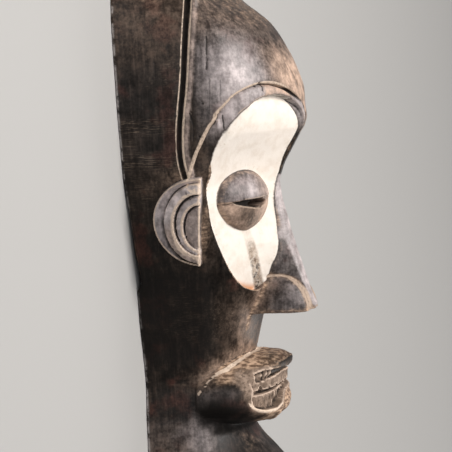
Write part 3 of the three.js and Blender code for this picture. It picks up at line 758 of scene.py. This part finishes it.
def read(mesh, name):
    """Three numbers of each vertex."""
    numbers = np.zeros(len(mesh.vertices) * 3, dtype=np.float32)
    mesh.vertices.foreach_get(name, numbers)
    return numbers.reshape(-1, 3)


# Added to a distance where a line or a feature isn't wanted
FAR = 20.0


def measures(mesh, close, brow, socket):
    """Where each point of the mesh lies against the carved features, in millimetres."""
    m = Named(spots=read(mesh, "co") / MM, facing=read(mesh, "normal"))
    x, y, z = m.spots.T
    flat = np.abs(x)
    m.side = np.stack([flat, y, z], 1)
    plan = np.stack([flat / CELL, (y - Y[0]) / CELL], 1)
    m.edge = 0.5 - sample(close, grid_steps(m.spots))
    u, v, w = eye_frame(flat, y, z)
    power = np.where(v > 0, 2.0, 1.7)
    lid = (np.abs(u / EYE.across) ** power + np.abs(v / (EYE.tall + 0.4)) ** power) ** (1 / power)
    m.lid = np.where((z > 56) & (flat > 8), (lid - 1) * EYE.tall, 2 * FAR)
    front = ease(z, 50, 56)
    white = np.where(front > 0, np.maximum(sample(socket, plan), -m.lid), 2 * FAR)
    white = white + bridge_gap(y) * ease(flat, 22, 10) + 2.4 * ease(y, -28, -44) * ease(flat, 26, 18)
    m.white = np.maximum(white, z - 95 - 2 * FAR * ease(y, -50, -44))
    m.brow = np.maximum(sample(brow, plan), SIDE_LEAN * (brow_side(y) - z))
    m.dome = ease(m.brow, 0.0, 2.0) * ease(z, 59, 64) * ease(y, 56, 70)
    m.band = ease(m.brow, 0, -1.0) * ease(m.white, 0, 1) * front * ease(y, 60, 80)
    m.tear, m.crease, m.cheek, m.ridge, m.groove, m.lit_ridge = (
        thread(flat, y, z, line) for line in (TEAR, CREASE, CHEEK_LINE, headband_line(*RIDGE),
                                              headband_line(*GROOVE), headband_line(*LIT_RIDGE)))
    m.back, m.out, m.up, m.ring = ear_rings(flat, y, z)
    m.ear = ease(m.ring.outer, 0.6, -0.4) * ease(m.out, -1.5, 1.0) * ease(m.back, -1.5, 0.0)
    m.ridge_face = m.ear * ease(m.ring.ridge, 0.4, -0.8) * ease(m.ring.groove, 0, 1)
    m.scoop = m.ear * ease(m.ring.ridge, -0.4, 1.2)
    m.arch = line_distance(y, z, curve_through(WING_ARCH, False)) + FAR * (flat > 28) + FAR * (z < 86)
    m.upper = (m.lid < 0) * ease(v, 0.0, 1.5)
    m.lower = (m.lid < 0) * ease(lens_edge(u) - v, -0.5, 0.5)
    m.inside_eye = (m.lid < 0) * ease(v - lens_edge(u), 0.2, 1.0) * ease(lid_line(u) - v, 0.0, 0.6)
    m.top_face = ease(m.facing[:, 1], 0.12, 0.5) * ease(z, 52, 60)
    m.top_face = m.top_face * ease(y, -108, -112) * ease(y, -132, -127)
    steps = np.linspace(-52, 52, 53)
    m.rim = line_distance(x, y, np.stack([steps, mouth_rim(steps) - 0.9], 1))
    m.rim = m.rim + FAR * (z < 70) + FAR * (y > -136) + FAR * (flat > 52)
    m.x, m.y, m.z, m.flat, m.u, m.v = x, y, z, flat, u, v
    return m


def drawn_lines(m):
    """How far a point is past the pale lines along worn edges, negative on a line."""
    flat, y, z, u, v, ring = m.flat, m.y, m.z, m.u, m.v, m.ring
    above_lip = z > np.where(y > HEADBAND.shoulder, HEADBAND.height, edge_rise(y)) - 5.4
    off_ear = FAR * (m.out < 1.5) + FAR * (ring.outer > 1) + FAR * (m.back < -1.2)
    # Distance from the line's middle, half its width, and how far it is pushed away
    lines = [
        (np.abs(m.groove - 3.3), 0.35, FAR * above_lip),
        (m.lit_ridge, 1.2, 0),
        (thread(flat, y, z, headband_line(*ABOVE_RIDGE)), 0.7, 2 * ease(y, 140, 100)),
        (np.abs(m.brow - 0.6), 0.9, 2.2 * ease(flat, 34, 14) + FAR * (y < np.where(z < 64, 26, 36))),
        (np.abs(m.white + 0.1), 0.5, 3 * ease(y, -30, 10) + 3 * ease(flat, 40, 28)),
        (np.abs(m.white - 1.2), 0.3, 3 * ease(y, 84, 66) + 3 * ease(flat, 50, 36)),
        (m.arch, 0.8, 0),
        (m.cheek, 0.9, 0),
        (m.crease, 2.1, ease(flat, 46, 56)),
        (m.rim, 1.1, 1.2 * ease(m.x, -30, 0)),
        (np.abs(v - lens_edge(u)), 0.5, FAR * (np.abs(u + 3) > 21) + FAR * (m.lid > 0)),
        (np.abs(v - lid_line(u) - 1.0), 0.2, FAR * (m.lid > -1) + FAR * (u > 8)),
        (np.abs(ring.groove - 1.2), 1.0, off_ear),
        (np.abs(ring.line - 1.1), 0.9, off_ear),
        (np.abs(ring.outer + 0.8), 0.3, off_ear),
        (np.abs(ring.ridge), 0.2, off_ear + 3 * ease(np.abs(m.up - 4), 26, 14)),
        (np.abs(m.back - 0.6), 0.6, off_ear),
    ]
    return np.min([away - half + push for away, half, push in lines], axis=0)


def painted_sheen_of(m):
    """Painted sheen: the grey highlight of the light painted into the colour, on the forehead, headband,
    lids, nose, ears, muzzle and beard.
    """
    y, z, ring = m.y, m.z, m.ring
    nose = ease(z, 90, 98) * ease(m.white, 0, 1.0) * (y < 30) * (y > -84)
    lid_highlight = np.exp(-((m.u + 3) / 9) ** 2 - ((m.v - 9) / 7) ** 2)
    polish = m.dome * (0.05 + 0.86 * near(m.side, (69, 113, 91), 24)) + spotted(m.side, SPOTS.polish)
    polish += 0.26 * ease(m.ridge, 4.0, 3.0) + m.upper * (0.30 + 0.45 * lid_highlight) + 0.62 * m.band
    polish += nose * (0.14 + 0.62 * ease(m.flat, 8.5, 6.5))
    polish += 0.45 * m.ear + 0.5 * m.ridge_face * ease(m.up, -14, 12)
    polish += 0.5 * m.scoop * ease(m.up, -20, 4)
    polish += 0.35 * m.ear * ease(ring.step, 1, -1) * ease(ring.line, -1, 1)
    polish += 0.014 * ease(np.abs(y - 85), 50, 30) * ease(z, 54, 48)
    return polish + 0.04 * ease(y, -148, -165)


def bloom_of(m, lip_face):
    """Where a tan film lies on the wood."""
    flat, y, z, u = m.flat, m.y, m.z, m.u
    bloom = 0.10 * ease(y, 132, 152) + 0.92 * ease(flat, 54, 18) * ease(y, 142, 112)
    bloom = m.dome * bloom + spotted(m.side, SPOTS.bloom)
    bloom += 0.24 * ease(m.ridge, 4.0, 3.0) + 0.9 * m.band * ease(flat, 52, 49) * ease(flat, 16, 26)
    bloom += m.lower * (0.40 + 0.25 * ease(u, 4, 18) + 0.35 * ease(u, -8, -20))
    bloom += 0.35 * m.upper * ease(u, -2, -16) + 0.3 * m.inside_eye * ease(u, -8, -16)
    bloom += 0.38 * ease(m.crease, 16, 2) * ease(y, -140, -118) + 0.20 * ease(m.cheek, 16, 2)
    bloom += 0.09 * ease(y, 110, 150) * ease(z, 60, 54) + 0.8 * lip_face
    return bloom + 0.35 * m.ridge_face * ease(m.up, 2, -10) + 0.2 * m.ear * ease(m.ring.boss, 1, -1)


def dust_of(m, lip_face):
    """Where pale dust has settled."""
    flat, y, z = m.flat, m.y, m.z
    dust = m.dome * (0.24 * ease(y, 138, 158) + 0.1 * ease(flat, 48, 14))
    dust += spotted(m.side, SPOTS.dust)
    dust += 0.45 * hill(m.arch, 0, 2.2) + 0.8 * lip_face
    dust += 0.30 * ease(m.crease, 16, 3) * ease(y, -138, -118) * (1 - m.top_face)
    dust += 0.5 * ease(m.cheek, 3.0, 0.8) + 0.22 * ease(m.cheek, 10, 2)
    dust += 0.5 * ease(np.abs(y + 77), 2.6, 0.6) * ease(z, 84, 90)
    dust += m.top_face * (0.9 - 0.4 * ease(z, 80, 92))
    dust += 0.34 * ease(y, 150, 186) * ease(np.abs(z - 32), 28, 6)
    dust += 0.4 * ease(np.abs(m.lid + 1.5), 3.4, 0.8) * ease(m.v + 0.5 * m.u, -24, -8)
    return dust + 0.25 * ease(np.abs(m.white - 1.5), 2.5, 0.5) * ease(flat, 24, 16) * ease(z, 80, 90)


def painted_shade_of(m):
    """Painted shade: the wood darkened where shadow falls, under the muzzle and lip, in the ear's scoop,
    the headband groove, the eyes and the notches, and darker down the cheeks and beard.
    """
    y, z = m.y, m.z
    grime = 0.85 * ease(y, -20, -56) * ease(y, -122, -96) * ease(z, 64, 50) * ease(m.cheek, 8, 22)
    grime += 0.9 * ease(y, -144, -150) * ease(y, -170, -160) * ease(m.flat, 30, 40) * ease(z, 36, 44)
    grime += spotted(m.side, SPOTS.grime) + spotted(m.spots, NOTCH_PAINTED_SHADE)
    grime += 0.9 * ease(np.abs(y + 168.5), 3.5, 1) * ease(z, 46, 52) * ease(z, 84, 76)
    grime += 0.8 * m.inside_eye * ease(m.u, -16, -8) + ease(m.groove, 2.8, 2.5)
    grime += 0.95 * m.scoop * ease(np.abs(m.ring.ridge - 1.6), 2.4, 1.0) * ease(m.up, 6, -4)
    grime += 0.5 * m.lower * np.exp(-((m.u - 1) / 9) ** 2 - ((m.v + 8) / 6) ** 2)
    return grime * ease(m.rim, 1.2, 2.4) * (1 - 0.8 * ease(m.crease, 6, 2))


def pale_of(m):
    """How pale the drawn lines are."""
    pale = (1 - 0.75 * ease(m.flat, 42, 56)) * ease(m.crease, 6, 4) + ease(m.cheek, 4, 2)
    pale += 0.75 * ease(m.rim, 5, 3) + 0.6 * m.ear + ease(m.lit_ridge, 2.5, 1.5)
    pale += 0.75 * ease(m.groove, 5, 4) + 0.3 * ease(np.abs(m.brow), 4, 3)
    return np.clip(pale, 0, 1)


def dress(mesh, close, brow, socket):
    """Writes the measures that the finish is drawn from, and adds a hand-made unevenness."""
    m = measures(mesh, close, brow, socket)
    flat, y, z = m.flat, m.y, m.z
    inner_teeth = ease(y - band_top(flat), -0.5, 0.5) * ease(flat, 30.5, 29.5)
    beige = ease(z, 66, 72) * ease(y, -118.5, -120.5) * ease(y, -157.5, -156.0) * ease(flat, 54.5, 53)
    beige = beige * (1 - 0.8 * inner_teeth) * ease(y - mouth_rim(m.x), -2, 0)
    lip_face = ease(mouth_rim(m.x) - y, 0.5, 2.0) * ease(y, -167, -163) * ease(z, 76, 86)
    lip_face = lip_face * ease(m.x, -56, -36) * ease(m.x, 52, 40)
    values = {"edge": m.edge, "white": m.white, "tear": m.tear, "polish": painted_sheen_of(m),
              "bloom": bloom_of(m, lip_face), "dust": dust_of(m, lip_face), "beige": beige,
              "line": drawn_lines(m), "grime": painted_shade_of(m), "pale": pale_of(m)}
    for name, value in values.items():
        layer = mesh.attributes.new(name, "FLOAT", "POINT")
        layer.data.foreach_set("value", np.clip(value, -3 * FAR, 3 * FAR).astype(np.float32))
    free = ease(z, 1.0, 8.0)
    shake = 0.55 * soft_noise(m.spots, 34.0, SEED + 2) + 0.22 * soft_noise(m.spots, 11.0, SEED + 3)
    spots = m.spots + m.facing * (shake * free)[:, None]
    spots[:, 2] = np.clip(spots[:, 2], 0, None)
    spots[:, 1] += Y_MOVE
    mesh.vertices.foreach_set("co", (spots * MM).astype(np.float32).ravel())
    mesh.update()


class Value:
    """A number or colour that shader nodes work out. Sums and products of it add nodes."""

    def __init__(self, graph, socket):
        self.graph, self.socket = graph, socket

    def __add__(self, other):
        return self.graph.math("ADD", self, other)

    def __sub__(self, number):
        return self + -number

    def __mul__(self, other):
        return self.graph.math("MULTIPLY", self, other)

    def ramp(self, low, high, to_low=0.0, to_high=1.0):
        """Runs softly from to_low to to_high while this value runs from low to high."""
        values = {0: self, 1: low, 2: high, 3: to_low, 4: to_high}
        return self.graph.node("ShaderNodeMapRange", values, interpolation_type="SMOOTHSTEP")

    def swing(self, much):
        """A noise around a half, made to swing around zero."""
        return (self - 0.5) * much


class Graph:
    """Builds shader nodes with few words."""

    def __init__(self, name):
        self.material = bpy.data.materials.new(name)
        self.material.use_nodes = True
        self.tree = self.material.node_tree
        self.tree.nodes.clear()

    def feed(self, socket, value):
        if isinstance(value, Value):
            self.tree.links.new(value.socket, socket)
        else:
            socket.default_value = value

    def node(self, kind, values=(), out=0, **settings):
        node = self.tree.nodes.new(kind)
        for key, value in settings.items():
            setattr(node, key, value)
        for key, value in dict(values).items():
            self.feed(node.inputs[key], value)
        return Value(self, node.outputs[out])

    def math(self, operation, a, b=0.0):
        return self.node("ShaderNodeMath", {0: a, 1: b}, operation=operation)

    def larger(self, a, b):
        return self.math("MAXIMUM", a, b)

    def attribute(self, name):
        return self.node("ShaderNodeAttribute", attribute_name=name, out=2)

    def mapped(self, **values):
        return self.node("ShaderNodeMapping", {"Vector": self.node("ShaderNodeTexCoord", out=3), **values})

    def noise(self, size, stretch=(1, 1, 1), detail=3.0, rough=0.55, at=(0, 0, 0)):
        """Noise with lumps of about this many millimetres."""
        place = self.mapped(Location=at, Scale=stretch)
        return self.node("ShaderNodeTexNoise", {"Vector": place, "Scale": 1 / (size * MM), "Detail": detail,
                                                "Roughness": rough})

    def mix(self, share, a, b, blend="MIX"):
        node = self.tree.nodes.new("ShaderNodeMix")
        node.data_type = "RGBA"
        node.blend_type = blend
        for key, value in (("Factor", share), ("A", a), ("B", b)):
            socket = [s for s in node.inputs if s.name == key and s.enabled][0]
            self.feed(socket, (*value, 1.0) if isinstance(value, tuple) else value)
        return Value(self, [s for s in node.outputs if s.enabled][0])

    def hump(self, value, middle, reach):
        """1 near a middle value, falling smoothly to 0."""
        return self.math("ABSOLUTE", value - middle).ramp(reach, 0.4 * reach)

    def position(self):
        """The place on the surface in the carving's own frame, in millimetres."""
        self.place = self.mapped(Location=(0, -Y_MOVE, 0), Scale=(1 / MM, 1 / MM, 1 / MM))
        split = self.node("ShaderNodeSeparateXYZ", {0: self.place}).socket.node
        return [Value(self, socket) for socket in split.outputs]

    def vector(self, operation, a, b=(0, 0, 0), out=0):
        return self.node("ShaderNodeVectorMath", {0: a, 1: b}, operation=operation, out=out)

    def shaken_place(self, reach):
        values = {"Vector": self.place, "Scale": 0.22, "Detail": 2.0}
        wobble = self.node("ShaderNodeTexNoise", values, out=1)
        wobble = self.vector("SUBTRACT", wobble, (0.5, 0.5, 0.5))
        wobble = self.vector("MULTIPLY", wobble, (2 * reach, 2 * reach, 2 * reach))
        return self.vector("ADD", self.place, wobble)

    def segment(self, place, a, b):
        """Distance from a place to a straight piece of line."""
        run = tuple(q - p for p, q in zip(a, b))
        away = self.vector("SUBTRACT", place, a)
        share = self.vector("DOT_PRODUCT", away, run, out=1) * (1 / sum(d * d for d in run))
        share = self.node("ShaderNodeClamp", {0: share, 1: 0.0, 2: 1.0})
        foot = self.node("ShaderNodeVectorMath", {0: run, 3: share}, operation="SCALE")
        return self.vector("LENGTH", self.vector("SUBTRACT", away, foot), out=1)

    def finish(self, **values):
        values = {key.replace("_", " "): value for key, value in values.items()}
        end = self.tree.nodes.new("ShaderNodeOutputMaterial")
        self.feed(end.inputs[0], self.node("ShaderNodeBsdfPrincipled", values))
        return self.material


# Colours of the wood, of what lies on it and of painted sheen and shade, as linear red, green and blue
BLACK_WOOD, BROWN_WOOD = (0.0062, 0.0046, 0.0034), (0.0165, 0.0115, 0.0085)
GRAIN_BROWN, WARM_BROWN, HATCH_TAN = (0.042, 0.031, 0.025), (0.050, 0.028, 0.020), (0.13, 0.10, 0.075)
RED_TRACE = (0.050, 0.017, 0.012)
# Painted highlights: the grey of the sheen, and the grey glint along the worn rim
SHEEN_GREY, RIM_GLINT_GREY = (0.56, 0.50, 0.50), (0.42, 0.385, 0.375)
FILM_TAN, WORN_TAN = (0.52, 0.375, 0.29), (0.40, 0.30, 0.225)
SHADE_DARK, SHADE_LIGHT = (0.42, 0.38, 0.36), (1.65, 1.60, 1.56)
DUST_DARK, DUST_LIGHT = (0.15, 0.092, 0.060), (0.60, 0.41, 0.28)
# Painted shade: near black where shadow falls, a dark for concave hollows, then the black of cracks
PAINTED_SHADE_BLACK, HOLLOW_SHADE, CRACK_BLACK = (0.006, 0.0045, 0.0036), (0.010, 0.0075, 0.006), (0.008, 0.006, 0.005)
LINE_TAN, LINE_PALE = (0.46, 0.35, 0.27), (0.90, 0.72, 0.57)
RAW_DARK, RAW_LIGHT = (0.16, 0.112, 0.082), (0.38, 0.28, 0.215)
RAW_PIT, RAW_EDGE = (0.08, 0.056, 0.042), (0.70, 0.54, 0.43)
CHALK_LIGHT, CHALK_DARK, CHALK_FLECK = (0.86, 0.78, 0.70), (0.78, 0.69, 0.60), (0.52, 0.40, 0.29)
ORANGE_STAIN = (0.60, 0.27, 0.11)
TEAR_LIGHT, TEAR_DARK = (0.58, 0.48, 0.39), (0.32, 0.235, 0.175)
TEAR_FOOT, TEAR_SPECK = (0.15, 0.095, 0.06), (0.03, 0.022, 0.018)


def bare_wood(g, n, y, z):
    """Oiled dark wood with its grain, rows of hatching and reddish traces."""
    colour = g.mix(n.broad.ramp(0.35, 0.65), BLACK_WOOD, BROWN_WOOD)
    colour = g.mix(n.grain.ramp(0.45, 0.75) * 0.5, colour, GRAIN_BROWN)
    colour = g.mix(n.medium.ramp(0.55, 0.8) * 0.3, colour, WARM_BROWN)
    rows = g.larger(g.hump(y, 77.0, 9.0), g.hump(y, 50.0, 9.0)) * z.ramp(52.0, 44.0)
    hatching = n.hatches.ramp(0.52, 0.66) * g.larger(rows, n.broad.ramp(0.5, 0.62, 0.0, 0.5))
    colour = g.mix(hatching * 0.7, colour, HATCH_TAN)
    patches = g.noise(26.0, detail=3.0, at=(0.3, 0.1, 0))
    return g.mix(patches.ramp(0.54, 0.68) * 0.5, colour, RED_TRACE)


def worn_wood_and_painted_sheen(g, n, z, colour):
    """Adds the painted sheen, the tan film, the rubbed edges and the worn rim with a painted grey glint;
    returns the wear too.
    """
    # Painted sheen: the light's grey highlight mixed into the colour
    polish, bloom = g.attribute("polish"), g.attribute("bloom")
    mottle = n.medium.ramp(0.25, 0.75, 0.7, 1.15) + n.grain.swing(0.35)
    colour = g.mix(polish * mottle, colour, SHEEN_GREY)
    film = bloom * (n.medium.ramp(0.3, 0.7, 0.65, 1.15) + n.fine.swing(0.5))
    colour = g.mix(film, colour, FILM_TAN)
    wear = (n.edge + n.medium.swing(0.05)).ramp(0.08, 0.15) * n.fine.ramp(0.25, 0.55, 0.45, 1.0)
    colour = g.mix(wear * 0.6, colour, WORN_TAN)
    shade = n.fine * 0.35 + (n.grain * 0.25 + n.medium * 0.40)
    shade = g.mix(shade.ramp(0.36, 0.64), SHADE_DARK, SHADE_LIGHT)
    smooth_wood = g.larger(polish, bloom).ramp(0.1, 0.6, 1.0, 0.45)
    colour = g.mix(smooth_wood, colour, g.mix(1.0, colour, shade, blend="MULTIPLY"))
    # The worn rim's edge, greyed by a painted glint of light
    rim = z.ramp(3.5, 1.0) * (n.medium + n.fine.swing(0.5)).ramp(0.35, 0.6)
    return g.mix(rim * n.edge.ramp(0.02, 0.08) * 0.9, colour, RIM_GLINT_GREY), wear


def dusty_wood_and_painted_shade(g, n, colour):
    """Adds settled dust, painted shade where shadow falls and painted shade in concave hollows; returns the
    dust and the painted shade too.
    """
    dust = g.attribute("dust")
    lumps = n.medium.swing(0.6) + n.fine.swing(0.4)
    settled = dust + (lumps + n.grain.swing(0.5))
    settled = settled.ramp(0.12, 0.9) * dust.ramp(0.02, 0.3)
    fibres = g.noise(1.9, stretch=(0.35, 1, 0.35), detail=3.0)
    colour = g.mix(settled * 0.9, colour, g.mix(fibres.ramp(0.40, 0.62), DUST_DARK, DUST_LIGHT))
    # Painted shade: near black where shadow falls
    grime = g.attribute("grime") * n.medium.ramp(0.3, 0.7, 1.0, 0.75)
    colour = g.mix(grime, colour, PAINTED_SHADE_BLACK)
    # Painted shade in concave hollows, less where dust lies
    hollow_shade = (n.edge + n.fine.swing(0.05)).ramp(-0.05, -0.15)
    return g.mix(hollow_shade * dust.ramp(0.9, 0.3, 0.0, 0.85), colour, HOLLOW_SHADE), settled, grime


def raw_wood(g, n, raw, colour):
    """Adds the unstained wood of the mouth, and the pale lines along worn edges."""
    beige = g.mix(n.medium.ramp(0.35, 0.7), RAW_DARK, RAW_LIGHT)
    beige = g.mix(n.fine.ramp(0.46, 0.66) * 0.7, beige, RAW_PIT)
    beige = g.mix(n.edge.ramp(0.03, 0.15) * 0.8, beige, RAW_EDGE)
    # Painted light and shade: the raw wood shows fully on convex edges and fades into the dark wood in
    # hollows
    lit = n.edge.ramp(-0.14, 0.06) * 0.8 + n.fine.swing(0.7)
    colour = g.mix(raw * lit.ramp(0.1, 0.6, 0.1, 0.95), colour, beige)
    line = (g.attribute("line") + n.medium.swing(0.8)).ramp(0.4, -0.3) * n.fine.ramp(0.3, 0.6, 0.55, 0.95)
    return g.mix(line, colour, g.mix(g.attribute("pale"), LINE_TAN, LINE_PALE))


def socket_chalk(g, n, x, y):
    """The clay in the socket, with flecks, an orange stain and the tear mark, and where it lies."""
    white = g.attribute("white")
    kaolin = (white + (n.fine.swing(0.6) + n.medium.swing(0.8))).ramp(0.35, -0.35)
    chalk = g.mix(n.medium.ramp(0.4, 0.7), CHALK_LIGHT, CHALK_DARK)
    flecks = n.fine.ramp(0.60, 0.72) * white.ramp(-6.0, -1.0)
    chalk = g.mix(flecks * 0.5, chalk, CHALK_FLECK)
    stain = y.ramp(-46.0, -55.0) * white.ramp(-7.0, -0.5) * g.math("ABSOLUTE", x).ramp(23.0, 28.0)
    chalk = g.mix(stain * 0.9, chalk, ORANGE_STAIN)
    tear = g.attribute("tear") + n.fine.swing(3.0)
    track = tear.ramp(5.6, 3.2) * y.ramp(-10.0, -30.0, 0.2, 1.0)
    speck = g.noise(3.6, stretch=(1, 0.8, 1), detail=3.0, rough=0.7).ramp(0.50, 0.58)
    speck = speck * (y.ramp(-30.0, -42.0) * 0.65 + 0.25)
    film = g.mix(n.medium.ramp(0.35, 0.65), TEAR_LIGHT, TEAR_DARK)
    film = g.mix(y.ramp(-38.0, -54.0) * 0.7, film, TEAR_FOOT)
    marks = g.mix(speck, film, TEAR_SPECK)
    return g.mix(track * n.fine.ramp(0.3, 0.6, 0.6, 1.0), chalk, marks), kaolin


def cracks(g):
    """How dark the cracks and pits make the wood."""
    crack = 0.0
    shaken = g.shaken_place(0.9)
    for line, wide, deep, dark in CRACKS:
        for a, b in zip(line[:-1], line[1:]):
            crack = g.larger(crack, g.segment(shaken, a, b).ramp(1.1 * wide, 0.5 * wide) * dark)
    for a, b, c, wide in PITS:
        pit = g.segment(shaken, (a, b, c), (a, b, c + PIT_LENGTH))
        crack = g.larger(crack, pit.ramp(wide, 0.6 * wide))
    return crack * 0.9


def wood_material():
    """Dark oiled wood with tan worn edges, a whitened socket and dusty creases, with painted sheen and
    painted shade.
    """
    g = Graph("dark_wood")
    x, y, z = g.position()
    n = Named(edge=g.attribute("edge"))
    n.fine, n.medium, n.broad = g.noise(2.2, detail=4.0), g.noise(9.0, detail=4.0), g.noise(45.0)
    n.grain = g.noise(3.0, stretch=(1, 0.08, 1), detail=4.0, rough=0.65)
    n.hatches = g.noise(1.0, stretch=(1, 1.4, 0.06), detail=2.0, rough=0.7)
    scratches = g.noise(1.1, stretch=(1, 0.04, 1), detail=2.0, rough=0.7)
    raw = g.attribute("beige")
    colour, wear = worn_wood_and_painted_sheen(g, n, z, bare_wood(g, n, y, z))
    colour, settled, grime = dusty_wood_and_painted_shade(g, n, colour)
    chalk, kaolin = socket_chalk(g, n, x, y)
    colour = g.mix(kaolin, raw_wood(g, n, raw, colour), chalk)
    colour = g.mix(cracks(g), colour, CRACK_BLACK)

    rough = (n.medium + n.fine.swing(0.4)).ramp(0.3, 0.7, 0.30, 0.46) + wear * 0.2
    rough = rough + g.larger(kaolin, g.larger(raw, settled)) * 0.4
    rough = g.math("MINIMUM", rough + grime * 0.5, 0.95)
    height = n.grain * 0.35 + scratches * 0.25
    for part, much in ((n.hatches, 0.2), (n.fine, 0.25), (n.medium, 0.6), (kaolin, 0.25)):
        height = height + part * much
    bump = g.node("ShaderNodeBump", {"Strength": 0.4, "Distance": 0.0009, "Height": height})
    return g.finish(Base_Color=colour, Roughness=rough, Normal=bump, Specular_IOR_Level=0.17)


def floor_and_light():
    mesh = bpy.data.meshes.new("floor")
    reach = 6.0
    mesh.from_pydata([(-reach, -reach, 0), (reach, -reach, 0), (reach, reach, 0), (-reach, reach, 0)], [],
                     [(0, 1, 2, 3)])
    floor = bpy.data.objects.new("floor", mesh)
    bpy.context.scene.collection.objects.link(floor)
    g = Graph("pale_floor")
    mesh.materials.append(g.finish(Base_Color=(0.44, 0.431, 0.419, 1.0), Roughness=0.9))
    world = bpy.data.worlds.new("soft_room")
    world.use_nodes = True
    world.node_tree.nodes["Background"].inputs[0].default_value = (0.97, 0.98, 1.0, 1.0)
    world.node_tree.nodes["Background"].inputs[1].default_value = 0.22
    bpy.context.scene.world = world
    bpy.context.scene.view_settings.view_transform = "Standard"
    for name, spot, wide, power, tint in (
        ("key", (-0.30, 0.83, 2.10), 1.1, 60.0, (1.0, 0.97, 0.94)),
        ("side", (-2.2, 0.5, 1.0), 1.2, 12.0, (0.97, 0.98, 1.0)),
        ("back", (1.5, -0.9, 1.3), 1.2, 9.0, (1.0, 0.98, 0.95)),
    ):
        lamp = bpy.data.lights.new(name, "AREA")
        lamp.shape = "SQUARE"
        lamp.size = wide
        lamp.energy = power
        lamp.color = tint
        holder = bpy.data.objects.new(name, lamp)
        bpy.context.scene.collection.objects.link(holder)
        holder.location = spot
        aim = Vector((0, 0, 0.06)) - Vector(spot)
        holder.rotation_euler = aim.to_track_quat("-Z", "Y").to_euler()


def camera():
    right = np.array([math.sin(LIFT), 0, math.cos(LIFT)])
    up = np.array([math.cos(LIFT) * math.sin(PITCH), math.cos(PITCH), -math.sin(LIFT) * math.sin(PITCH)])
    ahead = np.array([math.cos(LIFT) * math.cos(PITCH), -math.sin(PITCH),
                      -math.sin(LIFT) * math.cos(PITCH)])
    turned = math.cos(ROLL) * right - math.sin(ROLL) * up
    raised = math.sin(ROLL) * right + math.cos(ROLL) * up
    place = (np.array(AIM) + np.array([0, Y_MOVE, 0]) - DISTANCE * ahead) * MM
    lens = bpy.data.cameras.new("camera")
    lens.sensor_fit = "HORIZONTAL"
    lens.angle = 2 * math.atan(HALF_FIELD / DISTANCE)
    lens.clip_start, lens.clip_end = 0.1, 30
    holder = bpy.data.objects.new("camera", lens)
    bpy.context.scene.collection.objects.link(holder)
    axes = Matrix((turned, raised, -ahead)).transposed().to_4x4()
    holder.matrix_world = Matrix.Translation(place) @ axes
    bpy.context.scene.camera = holder


mask = build_mask()
mask.data.materials.clear()
mask.data.materials.append(wood_material())
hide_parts("mask")
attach(mask, "root")
floor_and_light()
camera()
